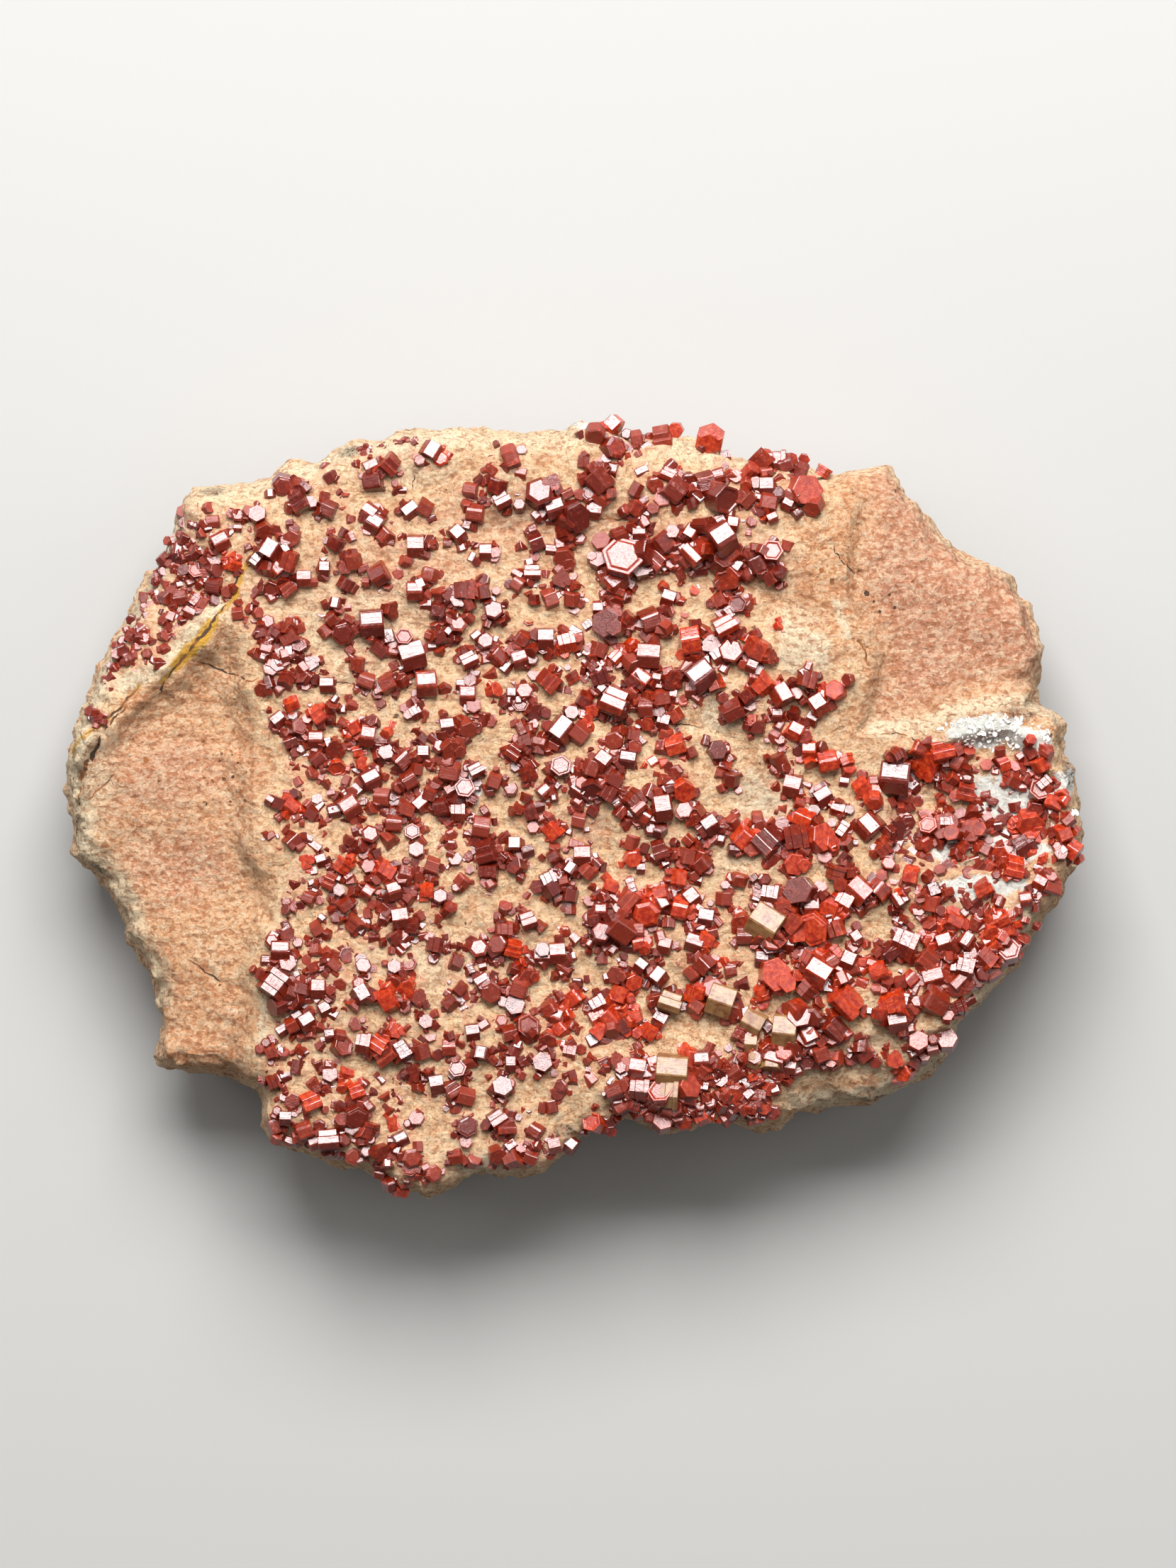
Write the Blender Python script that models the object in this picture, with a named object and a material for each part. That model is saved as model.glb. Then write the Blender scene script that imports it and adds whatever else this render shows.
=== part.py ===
"""Vanadinite on matrix: a broken slab of sandstone, lying on its back, with red crystals on its face.

The frame is in metres: X runs along the slab, Y across it, Z out of its crystal-bearing face. The origin is
the middle of the flat that the slab rests on. Sizes below are millimetres and are scaled by MM.
"""

import math
import random

import bmesh
import bpy
import numpy as np
from mathutils import Vector, geometry

MM = 0.001

# The slab, in millimetres
FACE_HEIGHT = 25.0  # crystal-bearing face above the resting flat
RIM_WIDTH = 5.0  # how far the broken rim rounds in from the outline
RIM_DROP = 3.2
TOP_EDGE_SCALE = 0.975  # rings of the side wall, as shares of the outline's reach from the origin
LOW_EDGE_SCALE = 0.955
BASE_SCALE = 0.84
WIDEST_SHARE = 0.62  # height of the widest ring, as a share of the face's height there
LOW_SHARE = 0.20
SIDE_SWING = 0.02  # how far the low rings belly in and out, as a share of the outline's reach
FACE_SPACING = 6.6  # between the points that shape the face
FACE_SHAKE = 1.2  # how far those points stray from an even grid
LEAST_SPACING = 1.7  # closest that two of them may be
EDGE_SPACING = 1.6  # closest that one of them may be to the edge
FACE_REACH = (95.0, 60.0)  # the grid of points spans this far each way before the outline trims it
RING_SHAKE = 1.8  # how far the points of the side wall stray up and down
BASE_SHAKE = 0.014  # how far the low rings stray inward, as a share of the outline's reach
RING_SWING = 0.09  # how far the rings swing up and down, as a share of the face's height there
SOCKET_GAP = 0.36  # between the rock and a crystal that is a piece of its own
SWELL_OUT = 1.6  # the rock that cuts the crystals is grown by this many gaps sideways, and by
SWELL_UP = 1.4  # this many upwards, so that the gap is full where walls and face slant

# The outline seen from above, anticlockwise from the right-hand tip
OUTLINE = [
    (74.6, -2), (73.8, 2), (73, 5.5), (71.8, 7.5), (71.2, 9.5), (72.3, 11.8), (71.2, 13.6),
    (67.4, 15.3), (68.4, 19), (69, 23), (68.3, 26.3), (66.8, 30), (63.8, 34.4), (60.8, 35.9),
    (58.4, 36.2), (54.6, 39.8), (52, 43), (49.3, 46), (46, 50.4), (43, 50), (39, 49.4), (36, 49),
    (33, 50.3), (28, 50.8), (23, 51.5), (19.5, 53.8), (15, 54.8), (8, 54.6), (3.4, 56.6), (0.4, 56.8),
    (-1.4, 55.4), (-8, 55), (-14, 55.6), (-16.6, 56.1), (-20, 55.5), (-24.4, 55.7), (-28, 54.2),
    (-32, 54.2), (-35.6, 52.9), (-38, 51), (-42.4, 51), (-45.4, 48.2), (-50, 47.8), (-55.8, 47.2),
    (-58.4, 44.8), (-59.6, 41), (-62.2, 35.6), (-65.6, 30), (-67.3, 26.4), (-70.4, 21), (-72.2, 15.4),
    (-74.2, 10.6), (-75.4, 2), (-74, -2.6), (-74.7, -6.8), (-70.6, -9.6), (-67.6, -14.4), (-66, -19.6),
    (-62.8, -26), (-61.2, -32), (-61.8, -37), (-59.8, -38.7), (-51, -39.6), (-46.4, -41.8),
    (-46.2, -46.4), (-45, -49.6), (-38, -51.4), (-30.6, -53.4), (-28.4, -55.4), (-22, -57.3),
    (-18.4, -56), (-15.4, -53.8), (-8, -54.4), (-5, -54), (-1.6, -50.6), (0.4, -48), (7, -45.4),
    (10.6, -46.8), (14.6, -48.4), (18.6, -46.8), (22, -46.2), (27.4, -47.6), (29.8, -47.2),
    (32.6, -45.1), (38, -44.2), (43.6, -43.6), (48, -41.4), (53.4, -38.8), (54.8, -35.4), (56.4, -31.6),
    (59.4, -29), (62.6, -25.6), (66, -21), (68.8, -16.8), (71.8, -12.8), (73.6, -8.4),
]

# Steps and hollows of the face: a polygon sinks to its depth over its wall's width, then by its slope
LEFT_SHELF = [
    (-51, 30), (-48.5, 24), (-46.5, 14), (-47.2, 6), (-47, -1.5), (-46, -6), (-44, -11.5), (-43.4, -15),
    (-45, -22.5), (-46, -27), (-46.6, -33), (-46.8, -41), (-50, -80), (-100, -80), (-100, 4),
    (-74, 8.5), (-70, 11), (-65, 15.5), (-60.5, 18.5), (-57, 22.5), (-53.5, 25.5),
]
UPPER_LEFT_SLOPE = [
    (-74.5, 8.5), (-70, 11), (-65, 15.5), (-60.5, 18.5), (-57, 22.5), (-53.5, 25.5), (-51, 30),
    (-50.5, 35), (-54, 41), (-57, 50), (-80, 80), (-110, 60), (-110, 10),
]
RIGHT_SHELF = [
    (40, 10.2), (49, 10.6), (54, 13), (60, 15), (67.5, 15.4), (100, 12), (100, 80), (42, 80),
    (39.5, 50), (40.5, 42), (38.5, 36), (40, 29), (43, 22), (41.5, 15),
]
LOWER_RIGHT_SLOPE = [
    (27, -41), (33, -37), (40, -33.5), (48, -32), (56, -31.5), (64, -29), (95, -60), (20, -80),
]
CRYSTAL_HOLLOW = [
    (44, 3), (45.5, 8), (52, 9.8), (61, 12), (68, 9.5), (71.5, 4), (71.5, -4), (66.5, -9), (58, -10),
    (50, -9.5), (45, -7.5),
]
SUNK = [  # polygon, depth, wall width, slope beyond the wall, deepest
    (LEFT_SHELF, 3.0, 2.2, 0.07, 6.0),
    (UPPER_LEFT_SLOPE, 0.4, 1.5, 0.24, 4.6),
    (RIGHT_SHELF, 1.7, 2.4, 0.085, 4.2),
    (LOWER_RIGHT_SLOPE, 0.3, 2.0, 0.22, 3.4),
    (CRYSTAL_HOLLOW, 2.6, 2.6, 0.05, 3.2),
]
MOUNDS = [  # x, y, reach in x, reach in y, height
    (33.5, 22.5, 7.0, 4.6, 1.6), (26.5, 0.5, 9.0, 6.0, -0.9), (-55, 26.5, 4.2, 3.2, 1.1),
    (29, -36, 9.0, 4.0, 1.0), (14, -40, 9.0, 4.0, 0.9), (33, -10, 10, 5.0, 1.0), (22, 42, 8.0, 7.0, 0.8),
]

# The crystals, in millimetres: place of the face that looks out, its size, and the way the prism's axis runs
BRIGHT_TILT = 20.0  # degrees by which the brightest faces lean towards +Y
BRIGHT_SIDES = [  # a side face turned out: x, y, width of that face, direction of the prism in degrees
    # upper left
    (-44.8, 38, 2.1, 60), (-29.3, 42, 1.9, -35), (-24.3, 43.8, 1.5, 40), (-21, 52.4, 1.8, 60),
    (-29.8, 27.6, 2.4, 5), (-24, 23.1, 2.5, 20), (-21.8, 18.8, 2.3, 5), (-23.4, 38.7, 1.9, 0),
    (-52, 39.4, 1.6, 30), (-43.6, 13.2, 1.3, 40), (-30, 50.2, 1.3, 30), (-36.7, 35.3, 1.4, 0),
    (-23.5, 32.2, 1.7, 0), (-39.7, 34, 1.5, 0), (-35.2, 30, 1.3, 80), (-36.4, 18.4, 1.3, 0),
    # upper right
    (-3.2, 44.3, 1.9, 20), (-13.2, 37.8, 1.5, 0), (21.3, 40, 3.0, 35), (16.7, 40.5, 1.6, 60),
    (17.5, 37.6, 2.0, -50), (-6.4, 34.8, 1.5, 0), (3.2, 29.4, 1.3, 0), (13.7, 49, 1.3, -25),
    (27.8, 47.4, 1.8, 0), (21.6, 27, 1.8, 30), (20.7, 22.7, 1.5, 35), (-17.3, 40.4, 1.7, 45),
    (3.1, 20.7, 1.3, -30), (-8.3, 22.2, 1.7, 20), (-4.4, 25.3, 1.8, 0), (-1.4, 24.7, 1.7, 15),
    (-15.8, 22, 1.5, 30), (5.3, 56.4, 1.9, -45), (-11, 45.3, 1.6, 30), (13.6, 31.1, 1.5, -20),
    (9.2, 40.6, 1.4, 0), (10.6, 23, 2.2, -5), (29.4, 51.2, 1.8, 0), (9.6, 19.3, 1.7, -40), (18, 20, 2.6, 40),
    # middle left
    (-30.3, 11.1, 1.9, -10), (-38, 10.5, 1.5, 0), (-22.3, 8.4, 1.5, 0), (-30, 4.7, 1.9, 30),
    (-35.3, -0.2, 1.4, 15), (-33.2, 0.6, 2.0, 35), (-37.3, -7.3, 1.2, 20), (-30.3, -12, 1.4, -35),
    (-26.6, -11.5, 1.8, 20), (-25.7, -15.5, 1.9, 10), (-23.5, 14.3, 1.3, 30), (-18.8, 12.4, 1.5, 10),
    (-17.2, -0.2, 1.5, 0), (-14.7, 5.8, 1.3, 30), (-22.8, 0.9, 1.5, 45),
    # middle
    (5.8, 16.3, 2.5, -25), (4, 7.4, 1.8, -40), (-4.7, 2.7, 1.3, 45), (0.5, 3, 1.5, -35),
    (12.8, 13, 1.4, -15), (16.8, 17.7, 1.4, 0), (-9.4, 17, 1.3, 0), (0.9, -6.4, 1.8, 0),
    (-4, -10.2, 1.7, 25), (-7.1, -16, 1.6, 20), (16.8, -12.7, 1.8, 40), (3.6, -14.6, 1.4, 0),
    (-15.8, 17, 1.7, 0), (12.6, 0.7, 2.4, 10), (-2.2, 11.9, 2.2, 55), (-9, -5, 1.7, 90),
    (7.6, 7.6, 1.7, -10), (19.4, -2, 1.7, 35), (-0.9, -8.6, 1.5, 60),
    # lower left
    (-43.1, -20.2, 1.8, 0), (-43.9, -25.3, 2.6, 55), (-37.6, -25.8, 1.7, 0), (-31.2, -26.8, 1.8, -60),
    (-36.7, -29, 1.3, 30), (-39.3, -30.7, 1.6, 35), (-36, -32.8, 1.3, 10), (-31, -33.8, 1.8, -10),
    (-25.3, -35.2, 1.8, -60), (-15.1, -32.3, 1.5, 10), (-13.9, -35.6, 1.6, 80), (-13.8, -24.9, 1.5, 35),
    (-36.2, -47.8, 1.9, 5), (-27.5, -51.7, 1.2, 90), (-25.6, -48, 1.3, 30), (-42.4, -44.9, 1.3, 0),
    (-38.3, -48.6, 1.3, 20), (-20.4, -39.8, 1.7, 10), (-11.6, -45.1, 1.7, 35),
    # lower middle
    (-2.7, -20.6, 1.9, 5), (-8.4, -24.9, 1.3, 40), (-3, -29.9, 1.6, -20), (3.1, -28.3, 1.6, 30),
    (-0.9, -35.3, 1.3, -10), (-9.5, -36.9, 1.4, 0), (9.6, -22.7, 1.4, -40), (18.3, -36.4, 1.8, 5),
    (-3.2, -48.9, 1.5, 15), (-1, -48.8, 1.5, -40), (-9.5, -49.1, 1.3, 40), (17.4, -19.2, 1.7, -20),
    (9, -37.4, 1.9, -10), (9.3, -40.5, 1.8, -5), (13, -19.6, 1.5, -15), (-4.9, -21.3, 1.5, 0),
    (11.9, -24.2, 1.7, 55),
    # lower right
    (33.9, -32.6, 2.0, -65), (31.3, -37.4, 1.3, -10), (39.2, -13.3, 1.8, -30), (40.9, -18.6, 1.4, 35),
    (48.2, -19, 2.4, -25), (39.8, -21.8, 1.9, -25), (47.5, -13, 1.5, -60), (41.5, -11.6, 2.2, -45),
    (53.6, -19.1, 1.7, 20), (47.8, -27.8, 1.3, 80), (31, -19.3, 1.6, -10), (52, -24.3, 1.9, 15),
    (56.9, -22.9, 2.1, -15), (67.8, -10.5, 1.3, -30), (65.6, -13, 1.3, 10), (61.5, -15.7, 1.3, 10),
    (52.2, -11.8, 1.5, -70), (35.5, -23.4, 2.4, -35), (28.3, -12.2, 1.9, -10), (19, -15.5, 1.8, -10),
    (46.8, -30.6, 1.9, 10), (57, -19, 1.6, 60),
    # right
    (36, 2.1, 1.6, 35), (38.3, 0.2, 1.3, -20), (34, 8.9, 1.6, 0), (32.2, 11.7, 1.5, -30),
    (29.4, 14, 1.3, 0), (30.3, 17, 1.9, -65), (46.6, 5.4, 3.0, -8), (31.6, 3.8, 2.0, -15),
    (42.8, -2.2, 2.4, -50), (54.3, -1.9, 1.3, 0), (35.2, 15.6, 2.0, 35),
]
BROWN_SIDES = [  # the same, on the prisms that a brown skin coats
    (27.9, -15.9, 3.2, -35), (30.4, -31.6, 3.0, -8), (25.9, -30.9, 2.1, -30), (28.6, -36.3, 2.0, 85),
    (14, -37.6, 2.9, -5), (13.6, -41, 2.3, -5), (21.4, -27.2, 2.8, -20), (13.9, -27.8, 1.9, -20),
    (25.5, -33.8, 1.6, -5), (26.2, -36.4, 1.5, -20),
]
BRIGHT_CAPS = [  # an end face turned out: x, y, width across its corners
    (-46.5, 43, 2.8), (-49.3, 42.8, 2.1), (6.8, 36.8, 6.2), (28.6, 37.6, 3.4), (-5.3, 46.3, 4.6),
    (-27.7, 8.3, 2.6), (-30, -3.7, 2.8), (-23.9, -3.4, 2.5), (-23.3, -6, 2.4), (-19.8, -12.8, 2.4),
    (-14.2, -20.3, 3.0), (-2.2, 6.2, 3.2), (-7.5, 17.2, 2.6), (-0.6, 14, 2.3), (-31, -22.9, 2.6),
    (-26.5, -23.1, 2.3), (-42, -22.5, 2.8), (-35.9, -38.8, 2.6), (-21.9, -31.1, 2.3), (-17.3, -38, 2.8),
    (-10.7, -40.5, 3.2), (-23.3, -45.2, 2.4), (-4.9, -37, 3.2), (-8.9, -28.7, 3.2), (12.7, -45.5, 3.2),
    (50, -33.9, 3.2), (54.2, -33.6, 3.4), (63.2, -20.6, 3.6), (68, 2.8, 3.6), (22.6, 23, 3.8),
    (-12, 29, 3.0), (-17.2, 27, 2.8), (-13.2, 24.5, 2.6), (-16.2, 3, 3.2),
]
CAPS = [  # an end face that looks out at a slant
    (-45.4, 40.2, 2.7), (-41.6, 39.2, 2.6), (-52.3, 34.8, 2.7), (-42.7, 46.9, 3.2), (-33.9, 25.3, 3.4),
    (-44.6, 31.8, 2.7), (0.4, 42.2, 4.6), (4.2, 27, 4.6), (-1.8, 36.3, 3.2), (-2, 33.4, 3.0),
    (6.1, 52.6, 3.6), (22.1, 44.8, 4.6), (2.8, 54, 3.2), (19.4, 53.2, 4.2), (22, 33.4, 3.8),
    (23.5, 29.8, 2.8), (33.9, 46.4, 4.6), (-35.2, 8.3, 3.0), (-18, 8.2, 3.4), (-34.9, 5.7, 2.6),
    (-15.6, 11.2, 3.0), (-5.8, 13.9, 2.6), (5.5, 9.7, 3.0), (14.2, 18.3, 3.2), (2.2, 2.2, 3.4),
    (17, -1.3, 2.8), (20.8, 8.5, 3.0), (-9.2, -8.3, 3.0), (-6.8, 4.8, 2.8), (15.9, 2.2, 3.6),
    (8.4, -7.6, 3.0), (10.2, -15.7, 4.2), (-24.8, -26.5, 2.8), (-22.8, -27.8, 2.5), (-26.2, -32.5, 2.5),
    (-33.8, -34.6, 3.2), (-23.9, -38.8, 2.8), (-12.4, -27, 3.6), (-31.9, -45.4, 3.8), (-23.8, -51.2, 3.0),
    (-28.3, -50.6, 3.0), (-20.6, -53.4, 2.8), (-32.5, -51, 2.6), (-15.8, -46.5, 3.2), (-11.3, -51, 2.8),
    (-11.6, -19.9, 2.8), (-7, -24.9, 3.0), (-6.9, -31.8, 3.6), (-4.2, -34.2, 2.8), (4.5, -46.6, 3.0),
    (2.2, -45.8, 3.2), (5.7, -24.5, 2.8), (8.5, -25.6, 2.6), (6.1, -37, 2.6), (-1.9, -22.2, 2.8),
    (15.5, -45.9, 3.0), (32.2, -12, 4.6), (29.3, -24.3, 5.0), (34.4, -17.8, 5.2), (46.7, -36.9, 3.0),
    (47.6, -38.9, 3.2), (24, -16.8, 2.8), (32, -8.3, 3.4), (22.8, -42, 3.4), (37.6, 17.2, 3.4),
    (50.7, 6, 4.6), (46.8, -3.3, 3.6), (53.8, -2.6, 4.4), (57.8, -3.3, 3.8), (66.6, -2.8, 4.0),
    (51.5, -5.5, 2.8), (62, -7, 2.8), (60.8, -18.6, 2.8), (36.3, -4.2, 4.2), (-40.2, 12, 2.8),
]
SIDES = [  # lies on its side at a slant: x, y, width across corners, direction of the prism in degrees
    # upper left
    (-30.8, 42.3, 3.0, -20), (-29.3, 34.2, 3.8, 25), (-21.6, 34, 2.8, 75), (-20, 28.7, 3.2, -10),
    (-53.2, 32.2, 3.4, -5), (-36.5, 43.4, 3.0, -20), (-22, 43.5, 2.9, -30), (-27, 50, 3.2, -45),
    (-29.8, 47.6, 3.4, 10), (-42.2, 36.1, 3.0, 70), (-40.6, 44.8, 3.2, 30), (-35.5, 38.5, 2.9, 60),
    (-32.7, 35.5, 3.2, 100), (-28.7, 23, 2.8, -45), (-41.8, 24.8, 3.0, 30), (-35.6, 27.2, 2.8, 40),
    (-28.3, 39.8, 2.8, 45), (-36, 48, 2.5, -60), (-42, 32, 2.6, 40), (-57.8, 30.2, 2.6, 10),
    (-39.5, 18.8, 2.6, 55), (-32.2, 20.8, 2.6, 80), (-27.5, 18.2, 3.2, 25), (-30.8, 18.4, 2.8, -20),
    # upper right
    (-9.6, 50.9, 3.8, 20), (-14.9, 42.7, 3.4, -5), (-5.6, 38.5, 3.2, 20), (14.2, 46, 4.2, -40),
    (8.8, 43.5, 3.4, 55), (13.2, 38.8, 4.0, -50), (11.6, 36.4, 3.4, -40), (11.2, 27.2, 4.2, 20),
    (26.6, 22.8, 4.0, 65), (26.4, 35.4, 3.4, -65), (12.4, 54, 3.2, 15), (19.1, 47.3, 3.8, 15),
    (26.6, 50.4, 3.4, -45), (-15.9, 31.7, 3.2, 85), (-13.3, 31.5, 3.0, 100), (-1, 30.2, 2.8, 80),
    (3, 47, 4.2, -50), (-8.7, 32.5, 2.8, -30), (-3.6, 30.4, 3.2, 20), (-8, 24.6, 3.2, -35),
    (17, 23.6, 4.4, 10), (28.3, 44.6, 3.4, -10), (25.2, 44.8, 2.8, 50), (30.6, 50, 3.2, 20),
    (16.4, 36, 3.4, -50), (22.4, 36.8, 3.4, 40), (-12, 46.8, 3.0, 70), (6, 32.4, 3.4, -20),
    (28.2, 33.4, 3.0, -60), (-11, 22.2, 2.8, -40), (-19.8, 24.8, 2.8, 20), (8.8, 53.6, 2.8, 10),
    (-15.6, 46.5, 2.6, -10), (3.6, 22.9, 3.0, 70), (20.9, 30.2, 2.8, 30), (32.8, 49, 2.8, -20),
    # middle left
    (-43.5, 0.6, 2.8, 70), (-41.3, 0.4, 2.8, -35), (-28.6, 1.1, 3.0, 0), (-26.5, -2.6, 2.8, -5),
    (-24.9, 6.9, 3.2, 40), (-32.4, 11.6, 2.8, -60), (-37.8, 13.5, 2.8, 40), (-24, 3.8, 3.4, 30),
    (-18.5, 5, 3.8, -10), (-21.4, 1.8, 3.0, -20), (-20, -0.2, 3.4, 15), (-24.6, -0.3, 3.2, -20),
    (-41, -5, 2.8, 40), (-38.6, -1, 2.6, -30), (-27.5, -9.2, 3.0, -30), (-33.6, -8.9, 2.8, 60),
    (-36.2, -10.8, 2.6, -20), (-39.3, -13.2, 2.6, -20), (-25, -10.6, 3.4, -20), (-33.4, -14.3, 2.8, 30),
    (-32.6, -17.1, 3.0, 50), (-24.3, -17.6, 3.0, 0), (-26.1, -19.2, 2.8, -60), (-20.9, -20, 3.0, 80),
    (-13.4, -6.6, 3.8, 20), (-14, -3.4, 3.4, -10), (-12.8, -9.3, 3.2, 0), (-20.9, -8.6, 3.0, -20),
    (-37.8, -17.9, 2.6, 30), (-41.6, 9.4, 2.6, 20), (-37.6, 7, 2.6, 40), (-21.8, -12.3, 2.6, 0),
    # middle
    (-3.8, 18.4, 3.4, 50), (3.7, 19, 3.2, 20), (1.3, 15.4, 2.8, -30), (8.3, 18.4, 3.2, 35),
    (12.5, 15.9, 3.2, 10), (10.2, 14, 3.4, 5), (0.5, 10.6, 3.4, -40), (8.4, 10.6, 2.8, -10),
    (14.6, 8.6, 3.6, 20), (2.5, 5.8, 3.0, 70), (5.7, 4, 3.2, -30), (4.6, 2.2, 3.0, 60),
    (8.9, 1, 3.4, 40), (9.6, -1.4, 3.0, -30), (19.2, -3, 3.4, 35), (12.2, -6.2, 3.2, 20),
    (-7.4, 9.9, 3.2, 10), (-9, 8.1, 2.8, -30), (-11.8, 3.7, 2.8, -20), (-6.6, -1, 3.2, 20),
    (-3.7, -3.7, 3.0, -50), (-3.4, -7.1, 3.0, 30), (1.9, -9.6, 3.2, 50), (-3.2, -11.8, 3.4, -60),
    (-0.8, -12.8, 2.8, 80), (7.5, -13.5, 3.4, 50), (12.2, -12.4, 3.0, 10), (15, -15.1, 4.0, -10),
    (16.6, -7.2, 3.0, 80), (15.4, -10.3, 3.2, 80), (18.3, -8.5, 3.4, -50), (6.7, -18.3, 4.8, -40),
    (19, -19.4, 3.4, -20), (14.3, 13.3, 2.8, -60), (0.2, -2.1, 2.8, -10), (5.3, -11.5, 2.8, -20),
    (2.7, -16.5, 2.8, 10), (-10.4, -17.7, 2.8, 0),
    # lower left
    (-39.8, -26.4, 3.0, -10), (-27.5, -28.4, 3.8, 30), (-12, -20.9, 3.0, 30), (-17.1, -22.4, 3.0, -20),
    (-28, -36.2, 3.4, 40), (-29, -34.4, 3.0, -30), (-22, -35.6, 3.0, -70), (-32.1, -41.3, 2.8, 20),
    (-38.6, -42.9, 3.0, 20), (-39.6, -47.4, 2.8, 20), (-18, -41, 2.8, 30), (-16, -42.6, 3.0, -20),
    (-41.3, -32, 2.8, 30), (-16.8, -26.6, 2.8, -40), (-18.7, -28.4, 2.8, 45), (-18.4, -35.5, 2.8, 0),
    (-38.4, -23.4, 2.6, -60), (-35.2, -22.9, 2.6, -40), (-44.4, -35.8, 2.6, 20), (-44, -40.2, 2.6, 20),
    # lower middle
    (-8.3, -26.7, 3.8, -20), (-0.4, -27.8, 2.8, -50), (-4.2, -29.6, 3.0, 30), (-2.4, -32.2, 2.8, 40),
    (4.9, -31, 3.6, -50), (6.8, -31.9, 3.0, -60), (8.7, -30.6, 3.2, -70), (9.2, -20, 3.0, 10),
    (6.5, -27.4, 3.2, 70), (18.3, -23.2, 3.4, -40), (17.6, -27.4, 3.0, 80), (16.6, -42.5, 3.2, -10),
    (8.7, -43.5, 2.8, 70), (6.2, -43.4, 2.8, -60), (5.4, -41.3, 2.8, 20), (-6.2, -47.3, 3.0, -30),
    (-10, -46.4, 3.2, 0), (11, -33, 2.8, 60), (22.6, -23.8, 2.8, 10), (18.2, -38.8, 2.8, 50),
    (13.4, -44, 3.0, -20), (18, -45, 2.8, 30), (-6.8, -51.3, 3.0, -20), (-9.6, -51, 2.8, 20),
    (-9, -20.8, 2.8, -20), (-9.4, -33.2, 2.8, 10), (23.4, -39.2, 2.8, 40), (24.8, -44, 2.8, 30),
    # lower right
    (22, -13.4, 2.8, 90), (23.8, -10.9, 2.8, 80), (38.3, -9.6, 3.2, 75), (36.8, -14.9, 3.4, -20),
    (39.8, -28.3, 4.4, -45), (45.9, -28.8, 4.2, 15), (43.9, -23.9, 3.4, 20), (46, -21.4, 3.4, 40),
    (38, -32, 3.4, -40), (35.8, -36.1, 3.6, 20), (42.4, -36.2, 3.0, 30), (44.8, -12.2, 3.6, 45),
    (48.6, -10, 3.4, -10), (52, -14, 3.2, 80), (24.6, -19.2, 3.0, 0), (37.6, -22.4, 2.8, 30),
    (27, -27.4, 3.0, 20), (51.6, -22.2, 3.2, -40), (52.6, -28.7, 4.4, -30), (56, -29, 3.2, 20),
    (49.2, -25, 2.8, 40), (56.8, -25.4, 2.8, 0), (55.4, -16.4, 3.2, -25), (62.3, -16.7, 3.0, 30),
    (60.3, -21.8, 3.6, -40), (61, -24, 3.0, 30), (64, -8.8, 3.2, -15), (59.2, -11.8, 3.0, 30),
    (71.6, -3.8, 3.2, 20), (72.2, -6.6, 3.2, -30), (66, -6.2, 3.8, 30), (69.8, -11.3, 2.8, -20),
    (33.4, -21.8, 2.6, 60), (31, -34.8, 3.2, -30),
    # right
    (36.9, 6.2, 3.6, 10), (30, 6.6, 3.0, -60), (33.9, 18.8, 2.8, 75), (26.6, 11.7, 3.0, 85),
    (23, 13.6, 3.8, 30), (27, 18, 3.4, 40), (24.9, 16.2, 3.2, -50), (53.4, 8.6, 3.6, 10),
    (55.6, 6.6, 2.8, 60), (66.5, 8.2, 2.8, -60), (68.3, 6.2, 3.4, -60), (57, 2.2, 3.2, -15),
    (42, 2.6, 3.0, 40), (48, 1.6, 2.8, -20), (31.8, 11, 3.0, -40), (22.4, 3.8, 2.8, 80),
    (27.8, -4.8, 4.4, -40), (32.3, -4.8, 4.6, 10), (33, -1.9, 3.2, -20), (24.4, -4.6, 3.4, 50),
    (45, -6.3, 2.8, 40), (70.4, 0.6, 3.0, 60), (64.2, 3.6, 2.8, -30), (62.9, 6, 2.6, 20),
]
SMALLEST_IN_SOLIDS = 3.05  # smaller crystals than this are left to the finished surface
LEAST_OVERLAP = 0.25  # crystals joined in one solid reach at least this far into each other
SEPARATE_NODES = 56
FACE_TO_WIDTH = 1.9  # width across corners of a prism whose side face is one wide
CAP_STANDS = 0.5  # height of the outer face above the rock, as a share of the crystal's width
SIDE_STANDS = 0.56
STEP_UP = 0.12  # how far a crystal stands above one under it, as a share of its width
UNDER_REACH = 0.42  # how near another must be to lie under it, as a share of that one's width
HIGHEST_LIFT = 2.6  # the most that crystals under it raise a crystal
TILT_SPREAD = 4  # degrees by which bright faces stray from BRIGHT_TILT
BEARING_SPREAD = 12  # and from +Y
SEED = 762


def stream(index):
    """Random numbers that depend only on which crystal asks."""
    return random.Random(SEED * 100003 + index)


def edge_distance(x, y, polygon):
    """Distance of points to a closed polygon's edge, positive inside."""
    nearest = np.full(np.shape(x), np.inf)
    inside = np.zeros(np.shape(x), bool)
    for (ax, ay), (bx, by) in zip(polygon, polygon[1:] + polygon[:1]):
        ex, ey = bx - ax, by - ay
        along = np.clip(((x - ax) * ex + (y - ay) * ey) / (ex * ex + ey * ey), 0, 1)
        nearest = np.minimum(nearest, np.hypot(x - ax - along * ex, y - ay - along * ey))
        if ay != by:
            crosses = (ay > y) != (by > y)
            inside ^= crosses & (x < ax + (y - ay) * ex / ey)
    return np.where(inside, nearest, -nearest)


def eased(t):
    t = np.clip(t, 0, 1)
    return t * t * (3 - 2 * t)


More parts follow.
